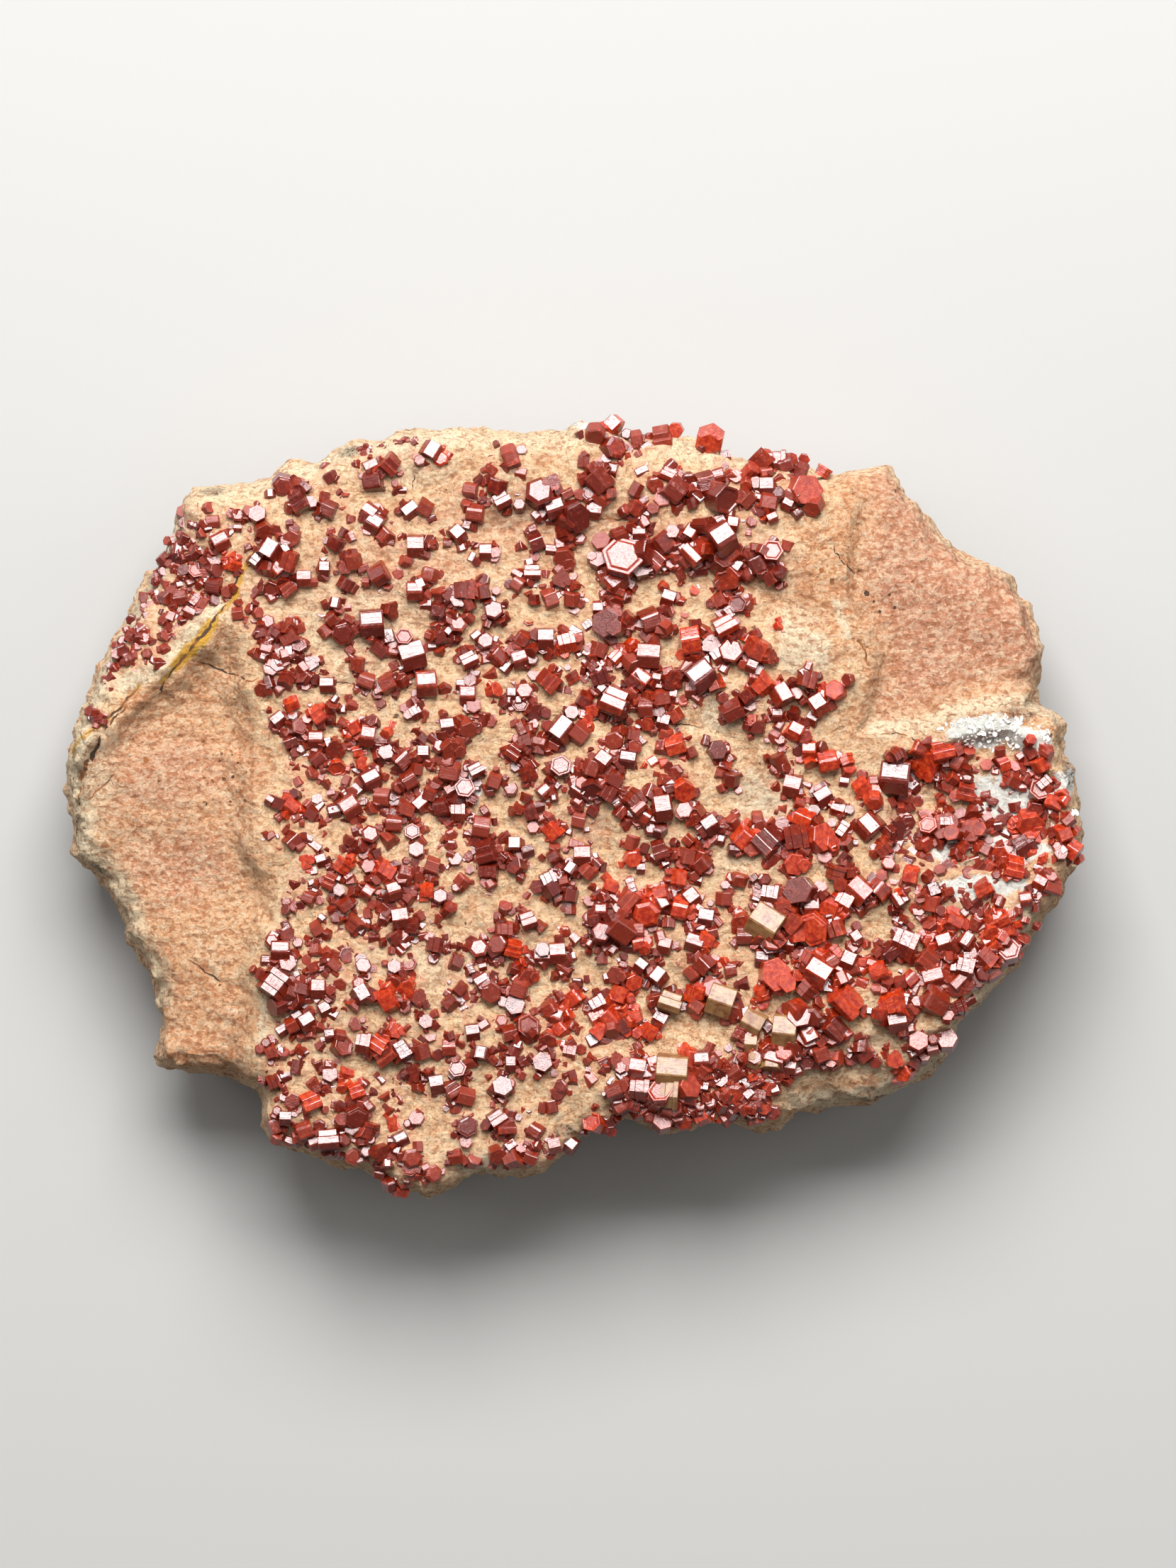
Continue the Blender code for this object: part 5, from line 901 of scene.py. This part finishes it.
def paint_stains_and_light(mesh, crystals):
    """Colour attributes that say where each stain lies and where light and shade are painted, around the
    crystals and along the steps and rims; the material breaks their edges up.
    """
    x, y, z = points_of(mesh).T / MM
    count = len(x)
    pink = np.zeros(count)
    for polygon in PINK:
        pink = np.maximum(pink, eased((edge_distance(x, y, polygon) + 3) / 12))
    pink = np.maximum(pink, 0.75 * spot_mask(x, y, PINK_SPOTS))
    # The rims get cream as well: partly cream rock, partly painted light that lifts them where they fall off
    # into shade.
    rim = 1 - np.clip(edge_distance(x, y, OUTLINE) / 3.5, 0, 1)
    cream = np.maximum(spot_mask(x, y, CREAM_SPOTS), 0.9 * eased(rim))
    vein = np.maximum(line_mask(x, y, VEIN, 0.5), line_mask(x, y, VEIN_WEDGE, 1.2))
    vein = np.maximum(vein, 0.72 * line_mask(x, y, RUSTY_CRACK, 0.6))
    top = eased((z - 12) / 6)
    warm = np.column_stack((pink * top, cream, vein * top, np.ones(count)))
    green, white = spot_mask(x, y, GREEN_SPOTS), spot_mask(x, y, WHITE_SPOTS)
    dark = spot_mask(x, y, DARK_SPOTS)
    cool = np.column_stack((green * top, white * top, dark * top, np.ones(count)))
    # Painted highlight along the step crests, and painted light on the rims where they fall off into shade.
    edge_light = np.zeros(count)
    for line, reach in EDGE_HIGHLIGHTS:
        edge_light = np.maximum(edge_light, line_mask(x, y, line, reach))
    # near: how close a crystal is; from it the material paints lighter rock among the crystals to offset
    # their shadows, and red shade right beside them.
    near = near_crystals(x, y, crystals)
    ringed = np.column_stack((near * top, yellow_edge(x, y) * top, edge_light * top, np.ones(count)))
    for name, values in (("warm_stains", warm), ("cool_stains", cool), ("crystal_stains", ringed)):
        layer = mesh.color_attributes.new(name, "FLOAT_COLOR", "POINT")
        layer.data.foreach_set("color", values.ravel())


def near_crystals(x, y, crystals, reach=0.9):
    """1 under a crystal, and less by a factor e for each reach away from it."""
    tree = kdtree.KDTree(len(crystals))
    for i, crystal in enumerate(crystals):
        tree.insert((crystal.middle.x, crystal.middle.y, 0), i)
    tree.balance()
    near = np.zeros(len(x))
    for j in range(len(x)):
        for _, i, away in tree.find_n((x[j], y[j], 0), 3):
            past = max(0.0, away - 0.45 * crystals[i].width)
            near[j] = max(near[j], math.exp(-past / reach))
    return near


def yellow_edge(x, y):
    """The cream-yellow band along the upper and left-hand edges."""
    band = 1 - np.clip(edge_distance(x, y, OUTLINE) / 7, 0, 1)
    return eased(band) * eased((y - 0.9 * x - 10) / 25)


def start_prism():
    """Adds a six-sided prism, 1 wide and 1 long, and opens it for editing by faces."""
    bpy.ops.object.select_all(action="DESELECT")
    bpy.ops.mesh.primitive_cylinder_add(vertices=6, radius=0.5, depth=1.0)
    bpy.ops.object.mode_set(mode="EDIT")
    bpy.ops.mesh.select_mode(type="FACE")
    return bpy.context.object


def choose_faces(obj, wanted):
    """Selects the faces of the object in edit mode for which wanted is true."""
    bpy.ops.mesh.select_all(action="DESELECT")
    bpy.ops.object.mode_set(mode="OBJECT")
    for polygon in obj.data.polygons:
        polygon.select = wanted(polygon)
    bpy.ops.object.mode_set(mode="EDIT")


def upper_end(face):
    return face.normal.z > 0.9


def either_end(face):
    return abs(face.normal.z) > 0.9


def side_face(face):
    return abs(face.normal.z) < 0.1


def grow_end(seed, end, steps):
    """Draws an end face out step by step, each step a rise and a change of width."""
    for rise, widening in steps:
        choose_faces(seed, lambda face: face.normal.z * end > 0.9 and abs(face.center.z) > 0.2)
        bpy.ops.mesh.extrude_region_move(TRANSFORM_OT_translate={"value": (0, 0, end * rise)})
        bpy.ops.transform.resize(value=(widening, widening, 1))


def shape_plain(seed):
    pass


def shape_plated(seed):
    choose_faces(seed, side_face)
    bpy.ops.mesh.inset(thickness=0.07, depth=0.025, use_individual=True)


def shape_terrace(seed):
    choose_faces(seed, upper_end)
    bpy.ops.mesh.inset(thickness=0.09)
    bpy.ops.mesh.inset(thickness=0.02, depth=0.045)


def shape_hopper(seed):
    choose_faces(seed, upper_end)
    bpy.ops.mesh.inset(thickness=0.075)
    bpy.ops.mesh.inset(thickness=0.05, depth=-0.07)


def shape_pyramid(seed):
    choose_faces(seed, either_end)
    bpy.ops.mesh.bevel(offset=0.12, offset_type="OFFSET", segments=1, affect="EDGES")


def shape_barrel(seed):
    bpy.ops.mesh.select_all(action="SELECT")
    bpy.ops.transform.resize(value=(1, 1, 0.5))
    for end in (1, -1):
        grow_end(seed, end, [(0.17, 0.95), (0.08, 0.86)])


def shape_stack(seed):
    """Plates that grew on each other, with a groove between them."""
    bpy.ops.mesh.select_all(action="SELECT")
    bpy.ops.transform.resize(value=(1, 1, 0.42))
    for end, first, second in ((1, 0.88, 1.13), (-1, 0.92, 1.04)):
        grow_end(seed, end, [(0.02, first), (0.02, second), (0.25, 1.0)])


def shape_twin(seed):
    """A slimmer prism grown against a corner of the first, along the same axis."""
    bpy.ops.mesh.primitive_cylinder_add(vertices=6, radius=0.3, depth=1.16, location=(0.3, 0.22, 0.02))


def shape_sheaf(seed):
    """Small prisms of unequal height grown against the sides of the first."""
    bpy.ops.mesh.select_all(action="SELECT")
    bpy.ops.transform.resize(value=(0.9, 0.9, 0.94))
    for x, y, radius, length in ((0.32, 0.1, 0.19, 1.06), (-0.22, 0.27, 0.2, 0.98), (-0.1, -0.3, 0.17, 1.1)):
        bpy.ops.mesh.primitive_cylinder_add(vertices=6, radius=radius, depth=length, location=(x, y, 0))


HABITS = {  # how each habit is shaped from a prism, and how wide its edges are rounded
    "plain": (shape_plain, 0.026),
    "worn": (shape_plain, 0.07),
    "plated": (shape_plated, 0.0),
    "terrace": (shape_terrace, 0.018),
    "hopper": (shape_hopper, 0.018),
    "pyramid": (shape_pyramid, 0.0),
    "barrel": (shape_barrel, 0.0),
    "stack": (shape_stack, 0.0),
    "twin": (shape_twin, 0.02),
    "sheaf": (shape_sheaf, 0.0),
}


def make_seed(style):
    """One crystal, 1 wide across its corners and 1 long, to be copied for every crystal of its habit."""
    shape, rounding = HABITS[style]
    seed = start_prism()
    shape(seed)
    bpy.ops.object.mode_set(mode="OBJECT")
    if rounding:
        bevel = seed.modifiers.new("bevel", "BEVEL")
        bevel.width = rounding
        bevel.segments = 1
        bevel.limit_method = "ANGLE"
        apply_modifiers(seed)
    put_in_order(seed.data)
    return taken_apart(seed)


def habit(crystal, dice):
    """Which habit a crystal has."""
    if crystal.width < PLAIN_BELOW:
        return dice.choice(("plain", "plain", "worn", "pyramid", "stack"))
    if crystal.kind == "bright cap":
        return dice.choice(("hopper", "terrace", "worn", "plain", "pyramid"))
    if crystal.kind == "bright side":
        return dice.choice(("plain", "plain", "plain", "twin", "pyramid", "plated", "stack", "worn"))
    if crystal.cap_out:
        return dice.choice(("terrace", "worn", "pyramid", "sheaf", "hopper", "plain", "twin"))
    return dice.choice(("plain", "barrel", "stack", "worn", "pyramid", "twin", "plated", "plain"))


def clear_share(crystal):
    """How clear and orange a crystal is, from 0 to 1: listed ones most, and more towards the right."""
    x, y = crystal.middle.x, crystal.middle.y
    nearest = min(math.hypot(x - cx, y - cy) for cx, cy in CLEAR)
    dice = random.Random(round(x * 50) * 7919 + round(y * 50))
    listed = 1.0 if nearest < CLEAR_REACH else 0.0
    drift = 0.26 + 0.3 * (0.5 + 0.5 * math.tanh((x - 8) / 22))
    return min(1.0, 0.75 * listed + drift * dice.random() ** 1.4)


def crystal_piece(name, crystals, seeds, finish):
    """Copies a seed to each crystal, a little uneven each time, and joins the copies in one piece."""
    points, faces, tints, grown, prisms = [], [], [], [], []
    start = 0
    for crystal in crystals:
        dice = random.Random(round(crystal.middle.x * 100) * 104729 + round(crystal.middle.y * 100))
        seed_points, seed_faces = seeds[habit(crystal, dice)]
        bright = crystal.kind.startswith("bright")
        uneven = 0.03 if bright else 0.09
        shaped = seed_points * (1 + dice.uniform(-uneven, uneven), 1 + dice.uniform(-uneven, uneven), 1)
        if not bright:
            shaped[:, 2] += shaped[:, 0] * dice.uniform(-0.14, 0.14) * (np.abs(shaped[:, 2]) > 0.3)
        place = np.array(crystal.matrix())
        points.append((shaped @ place[:3, :3].T + place[:3, 3]) * MM)
        faces += [tuple(i + start for i in face) for face in seed_faces]
        chance = dice.random() * (0.8 if bright else 1.0)
        tints += [(clear_share(crystal), crystal.coated, chance, 1.0)] * len(seed_points)
        grown.append(seed_points * (crystal.width, crystal.width, crystal.length) + dice.uniform(0, 100))
        prisms.append(seed_points)
        start += len(seed_points)
    piece = new_piece(name, np.concatenate(points), faces, finish)
    mesh = piece.data
    layer = mesh.color_attributes.new("tint", "FLOAT_COLOR", "POINT")
    layer.data.foreach_set("color", np.array(tints).ravel())
    for key, values in (("own_place", grown), ("in_prism", prisms)):
        layer = mesh.attributes.new(key, "FLOAT_VECTOR", "POINT")
        layer.data.foreach_set("vector", np.concatenate(values).ravel())
    mesh.validate()
    return piece


def make_barite(finish):
    """A crust of small tabular barite crystals on the white patches."""
    bpy.ops.object.select_all(action="DESELECT")
    bpy.ops.mesh.primitive_cylinder_add(vertices=8, radius=0.5, depth=0.3)
    seed = bpy.context.object
    bpy.ops.object.mode_set(mode="EDIT")
    choose_faces(seed, either_end)
    bpy.ops.mesh.bevel(offset=0.09, offset_type="OFFSET", segments=1, affect="EDGES")
    bpy.ops.object.mode_set(mode="OBJECT")
    seed_points, seed_faces = taken_apart(seed)
    seed_points = seed_points * (1, BLADE_DEPTH, 1)
    points, faces = [], []
    for i, (polygon, count) in enumerate(BARITE):
        dice = stream(BARITE_DRAWS + i)
        for x, y in scattered(polygon, count, dice):
            blade = seated(x, y, dice.uniform(0.5, 1.3), dice, dice.uniform(0.05, 0.3))
            place = np.array(blade.matrix())
            faces += [tuple(v + len(points) * len(seed_points) for v in face) for face in seed_faces]
            points.append((seed_points @ place[:3, :3].T + place[:3, 3]) * MM)
    crust = new_piece("barite_crust", np.concatenate(points), faces, finish)
    crust.data.validate()
    return crust


def shared_out(crystals, nodes):
    """Which crystals stand for which CAD node, and which are left."""
    trees = {name: surface_of(node, MM) for name, node in nodes.items() if name != "sandstone_matrix"}
    owned, left = {name: [] for name in trees}, []
    for crystal in crystals:
        probe = crystal.middle + Vector((0, 0, 0.2 * crystal.width))
        owner = next((n for n, tree in trees.items() if inside(tree, probe)), None)
        (owned[owner] if owner else left).append(crystal)
    return owned, left


def inside(tree, point):
    """Whether a point is in a closed mesh: a ray from it leaves through an odd number of faces."""
    ray = Vector((0.123, 0.071, 0.99)).normalized()
    crossings = 0
    while crossings < 40:
        hit = tree.ray_cast(point, ray)[0]
        if hit is None:
            break
        crossings += 1
        point = hit + ray * 1e-4
    return crossings % 2 == 1


class Wire:
    """A shader value. Sums and products of wires, and of wires and numbers, add their Math nodes."""

    def __init__(self, shader, socket):
        self.shader, self.socket = shader, socket

    def _math(self, operation, *values):
        return self.shader.node("ShaderNodeMath", {"operation": operation}, dict(enumerate(values)))

    def __add__(self, other):
        return self._math("ADD", self, other)

    __radd__ = __add__

    def __mul__(self, other):
        return self._math("MULTIPLY", self, other)

    __rmul__ = __mul__

    def __sub__(self, other):
        return self._math("SUBTRACT", self, other)

    def __rsub__(self, other):
        return self._math("SUBTRACT", other, self)

    def ramp(self, low, high):
        """0 below low, 1 above high, smooth between."""
        return self.shader.node(
            "ShaderNodeMapRange",
            {"interpolation_type": "SMOOTHSTEP"},
            {"Value": self, "From Min": low, "From Max": high},
        )


class Finish:
    """A material's node tree, and the one way of adding a node to it."""

    def __init__(self, name):
        self.material = bpy.data.materials.new(name)
        self.material.use_nodes = True
        self.tree = self.material.node_tree
        self.shader = self.tree.nodes["Principled BSDF"]

    def node(self, kind, settings=None, inputs=None, output=0):
        made = self.tree.nodes.new(kind)
        for key, value in (settings or {}).items():
            if key == "stops":
                ramp = made.color_ramp
                while len(ramp.elements) < len(value):
                    ramp.elements.new(0.5)
                for element, (position, colour) in zip(ramp.elements, value):
                    element.position, element.color = position, (*colour, 1)
            else:
                setattr(made, key, value)
        for key, value in (inputs or {}).items():
            self.join(made.inputs[key], value)
        return Wire(self, made.outputs[output])

    def join(self, socket, value):
        if isinstance(value, Wire):
            self.tree.links.new(value.socket, socket)
        elif isinstance(value, tuple) and socket.type == "RGBA":
            socket.default_value = (*value, 1)
        else:
            socket.default_value = value

    def set(self, **sockets):
        for name, value in sockets.items():
            self.join(self.shader.inputs[name.replace("_", " ")], value)

    def place(self):
        """Where on the piece a point is, in metres."""
        return Wire(self, self.node("ShaderNodeTexCoord").socket.node.outputs["Object"])

    def mix(self, share, first, second):
        """first where share is 0, second where it is 1."""
        return self.node(
            "ShaderNodeMix", {"data_type": "RGBA"}, {0: share, 6: first, 7: second}, output=2
        )

    def noise(self, place, scale, detail=2.0, rough=0.5, curl=0.0):
        inputs = {"Vector": place, "Scale": scale, "Detail": detail, "Roughness": rough, "Distortion": curl}
        return self.node("ShaderNodeTexNoise", {}, inputs)

    def stretched(self, place, size):
        return self.node("ShaderNodeMapping", {}, {"Vector": place, "Scale": size})

    def attribute(self, name, output="Color"):
        made = self.node("ShaderNodeAttribute", {"attribute_name": name})
        return Wire(self, made.socket.node.outputs[output])

    def channels(self, colour):
        made = self.node("ShaderNodeSeparateColor", {}, {"Color": colour})
        return [Wire(self, output) for output in made.socket.node.outputs]

    def axes(self, vector):
        made = self.node("ShaderNodeSeparateXYZ", {}, {"Vector": vector})
        return [Wire(self, output) for output in made.socket.node.outputs]

    def bump(self, height, distance, strength=1.0, normal=None):
        inputs = {"Height": height, "Distance": distance, "Strength": strength}
        if normal is not None:
            inputs["Normal"] = normal
        return self.node("ShaderNodeBump", {}, inputs)


def rock_finish():
    """Sandstone: peach with pink, cream, ochre and green stains, white barite and dark manganese, with
    painted light and red shade around the crystals, painted highlight along the steps, rims and grain
    crests, and painted shade in the grain's hollows.
    """
    rock = Finish("sandstone_rock")
    place = rock.place()
    broad = rock.noise(place, 45, 4, 0.6)
    patchy = rock.noise(place, 190, 5, 0.65)
    broken = rock.noise(rock.stretched(place, (430, 650, 600)), 1.0, 9, 0.7, 0.3)
    chips = rock.noise(rock.stretched(place, (1150, 1500, 1400)), 1.0, 4, 0.6, 0.5)
    grain = rock.noise(place, 3600, 3, 0.7)
    pink, cream, vein = rock.channels(rock.attribute("warm_stains"))
    green, white, dark = rock.channels(rock.attribute("cool_stains"))
    near, yellow, edge_light = rock.channels(rock.attribute("crystal_stains"))
    edge = (patchy - 0.5) * 0.9
    colour = rock.mix(broad.ramp(0.35, 0.65), (0.84, 0.42, 0.21), (0.93, 0.54, 0.29))
    colour = rock.mix(patchy.ramp(0.45, 0.7) * 0.35, colour, (0.80, 0.36, 0.18))
    # Painted light: rock among the crystals is lifted towards pale cream to offset their shadows, partly
    # creamier rock there too; pink and the dark grain fade near them as well.
    colour = rock.mix(near.ramp(0.02, 0.35) * 0.85, colour, (1.0, 0.68, 0.39))
    colour = rock.mix((pink + edge * 0.7).ramp(0.1, 1.0) * (0.9 - near * 0.3), colour, (0.72, 0.33, 0.21))
    # Cream stains, and cream on the rims that is partly painted light lifting them out of their shade.
    colour = rock.mix((cream + edge).ramp(0.35, 1.0) * 0.75, colour, (1.0, 0.74, 0.48))
    colour = rock.mix((yellow + edge).ramp(0.2, 0.8) * 0.9, colour, (1.0, 0.82, 0.54))
    colour = rock.mix((green + edge).ramp(0.4, 0.9) * 0.8, colour, (0.76, 0.66, 0.47))
    # Painted red shade right beside the crystals, for their warm shadows and the red light they pass, partly
    # a real red stain round their bases.
    colour = rock.mix(near.ramp(0.45, 0.95) * 0.5, colour, (0.95, 0.43, 0.26))
    # Painted highlight along the step crests and painted light on the shaded rims, in pale cream.
    colour = rock.mix((edge_light + edge * 1.5).ramp(0.3, 0.9) * 0.85, colour, (1.0, 0.86, 0.60))
    # Painted highlight on the crests and painted shade in the hollows: the noises that raise the bumps below
    # also lighten their crests and darken their hollows.
    colour = rock.mix(broken.ramp(0.5, 0.62) * 0.5, colour, (1.0, 0.75, 0.50))
    colour = rock.mix((1 - broken).ramp(0.52, 0.62) * (0.6 - near * 0.25), colour, (0.52, 0.19, 0.09))
    colour = rock.mix(chips.ramp(0.5, 0.6) * 0.45, colour, (1.0, 0.80, 0.56))
    colour = rock.mix((1 - chips).ramp(0.51, 0.62) * (0.7 - near * 0.3), colour, (0.48, 0.18, 0.08))
    colour = rock.mix(grain.ramp(0.4, 0.66) * 0.15, colour, (0.70, 0.32, 0.16))
    colour = rock.mix((vein + edge * 2.0).ramp(0.4, 0.9) * 0.95, colour, (0.76, 0.40, 0.05))
    colour = rock.mix((white + edge * 2.4).ramp(0.4, 0.58), colour, (0.95, 0.91, 0.82))
    speckled = rock.noise(place, 1500, 3, 0.7).ramp(0.5, 0.62)
    dust = (dark + edge * 1.4).ramp(0.35, 0.8) * (speckled * 0.6 + 0.35)
    colour = rock.mix(dust, colour, (0.07, 0.05, 0.045))
    pores = rock.noise(place, 700, 2, 0.5).ramp(0.73, 0.77)
    colour = rock.mix(pores * 0.8, colour, (0.12, 0.05, 0.03))
    normal = rock.bump(broken + patchy * 0.4 + chips * 0.5, 0.006, 1.0)
    normal = rock.bump(grain - pores * 2.0, 0.00022, 1.0, normal)
    rock.set(Base_Color=colour, Roughness=0.9 - white * 0.3, Normal=normal)
    rock.shader.inputs["Specular IOR Level"].default_value = 0.15
    return rock.material


def crystal_finish():
    """Vanadinite: red, glassy, a little translucent, clear orange-red in places with a painted glow at the
    thin edges, some brown-coated.
    """
    red = Finish("vanadinite_crystal")
    own = red.attribute("own_place", "Vector")
    clear, coated, chance = red.channels(red.attribute("tint"))
    across, over, along = red.axes(red.attribute("in_prism", "Vector"))
    # Painted glow of light passing through a crystal's thin edges: near its upright and end edges the colour
    # leans towards the clear orange-red.
    upright_edge = (across * across + over * over).ramp(0.2, 0.25)
    end_edge = (along * along).ramp(0.17, 0.25)
    thin = upright_edge * 0.6 + end_edge * 0.5
    cloudy = red.noise(own, 0.8, 4, 0.6)
    flaws = red.noise(own, 1.5, 3, 0.6)
    striae = red.noise(red.stretched(own, (6.0, 6.0, 0.4)), 1.0, 3, 0.6)
    deep = red.mix(chance, (0.085, 0.005, 0.002), (0.205, 0.019, 0.005))
    bright = red.mix(flaws.ramp(0.35, 0.7), (0.28, 0.011, 0.003), (0.49, 0.050, 0.006))
    colour = red.mix((clear + (cloudy - 0.5) * 1.1 + thin * 0.3).ramp(0.15, 1.0), deep, bright)
    colour = red.mix(flaws.ramp(0.55, 0.7) * 0.3, colour, (0.33, 0.075, 0.05))
    colour = red.mix((1 - flaws).ramp(0.6, 0.72) * 0.5, colour, (0.12, 0.008, 0.006))
    skin = red.mix(cloudy.ramp(0.35, 0.65), (0.17, 0.06, 0.015), (0.28, 0.145, 0.05))
    colour = red.mix(coated * (cloudy + 0.55).ramp(0.7, 1.0), colour, skin)
    dull = chance.ramp(0.45, 0.6) * 0.14 + chance.ramp(0.72, 0.9) * 0.18
    roughness = 0.05 + dull + flaws.ramp(0.54, 0.66) * 0.13 + coated * 0.35
    normal = red.bump(striae, 0.00009, 0.6)
    normal = red.bump(flaws + cloudy * 0.8, 0.00012, 0.45, normal)
    red.set(Base_Color=colour, Roughness=roughness, Normal=normal, IOR=1.74)
    red.set(Subsurface_Weight=0.15, Subsurface_Scale=0.8 * MM)
    red.shader.inputs["Subsurface Radius"].default_value = (1.0, 0.2, 0.08)
    return red.material


def barite_finish():
    """White barite: sugary, faintly grey."""
    white = Finish("white_barite")
    place = white.place()
    cloudy = white.noise(place, 900, 4, 0.6)
    colour = white.mix(cloudy.ramp(0.35, 0.65), (0.82, 0.79, 0.74), (0.98, 0.97, 0.95))
    white.set(Base_Color=colour, Roughness=0.15 + cloudy * 0.3, Normal=white.bump(cloudy, 0.00015, 0.5))
    return white.material


def crack_finish():
    """Iron-stained dust in the cracks: near black, rusty in places."""
    dust = Finish("crack_dust")
    rusty = dust.noise(dust.place(), 260, 4, 0.6)
    colour = dust.mix(rusty.ramp(0.45, 0.62), (0.045, 0.020, 0.010), (0.22, 0.075, 0.018))
    dust.set(Base_Color=colour, Roughness=0.95, Normal=dust.bump(rusty, 0.0002, 0.5))
    return dust.material


def plain_finish(name, colour):
    made = Finish(name)
    made.set(Base_Color=colour, Roughness=0.85)
    return made.material


def make_floor():
    bpy.ops.object.select_all(action="DESELECT")
    bpy.ops.mesh.primitive_plane_add(size=4)
    floor = bpy.context.object
    floor.name = "floor"
    floor.data.materials.append(plain_finish("floor_paper", (0.36, 0.354, 0.345)))


def make_light(name, at, size, radiance):
    """A rectangular softbox that looks at the slab. radiance is how bright its face is."""
    light = bpy.data.lights.new(name, "AREA")
    light.shape = "RECTANGLE"
    light.size, light.size_y = size
    light.energy = radiance * math.pi * size[0] * size[1]
    lamp = bpy.data.objects.new(name, light)
    lamp.location = at
    lamp.rotation_euler = (Vector((0, 0, 0.02)) - Vector(at)).to_track_quat("-Z", "Y").to_euler()
    bpy.context.scene.collection.objects.link(lamp)


def make_lights():
    steep = math.radians(2 * BRIGHT_TILT)
    reach = 0.9
    make_light("key_softbox", (0, reach * math.sin(steep), reach * math.cos(steep)), (0.70, 0.52), 18.2)
    make_light("left_softbox", (-0.75, 0.35, 0.75), (0.6, 0.6), 2.2)
    make_light("right_softbox", (0.8, 0.15, 0.7), (0.6, 0.6), 1.7)
    make_light("overhead_fill", (0.1, -0.3, 1.5), (1.2, 1.0), 0.4)
    world = bpy.data.worlds.new("studio")
    world.use_nodes = True
    background = world.node_tree.nodes["Background"]
    background.inputs["Color"].default_value = (1.0, 0.98, 0.95, 1)
    background.inputs["Strength"].default_value = 0.14
    bpy.context.scene.world = world
    bpy.context.scene.view_settings.view_transform = "Standard"


def make_camera():
    """Straight above the face, far enough to take in 230 mm at the height where the slab is widest."""
    above, seen = 1.2, 0.230
    data = bpy.data.cameras.new("camera")
    data.sensor_width = 36
    data.lens = data.sensor_width * above / seen
    camera = bpy.data.objects.new("camera", data)
    camera.location = (1.77 * MM, 3.48 * MM, above + 20 * MM)
    bpy.context.scene.collection.objects.link(camera)
    bpy.context.scene.camera = camera


def main():
    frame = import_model()
    noise.seed_set(SEED)
    make_camera()
    make_floor()
    make_lights()
    large = placed_crystals()
    small = small_crystals(large)
    owned, left = shared_out(large, frame["nodes"])
    bare = [name for name, crystals in owned.items() if not crystals]
    if bare:
        raise RuntimeError(f"no crystal stands for {bare}")
    rock = make_rock(large + small)
    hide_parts("sandstone_matrix")
    barite = make_barite(barite_finish())
    cracks = make_cracks(rock, crack_finish())
    for piece in (rock, barite, cracks):
        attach(piece, "root")
    seeds = {style: make_seed(style) for style in HABITS}
    red = crystal_finish()
    pieces = []
    for name, crystals in owned.items():
        piece = crystal_piece(name.replace("vanadinite", "red"), crystals, seeds, red)
        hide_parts(name)
        pieces.append(piece)
    pieces.append(crystal_piece("crystals_grown_on_rock", left, seeds, red))
    for name, low, high in SMALL_PIECES:
        within = [crystal for crystal in small if low <= crystal.middle.x < high]
        pieces.append(crystal_piece(name, within, seeds, red))
    for piece in pieces:
        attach(piece, "root")


main()
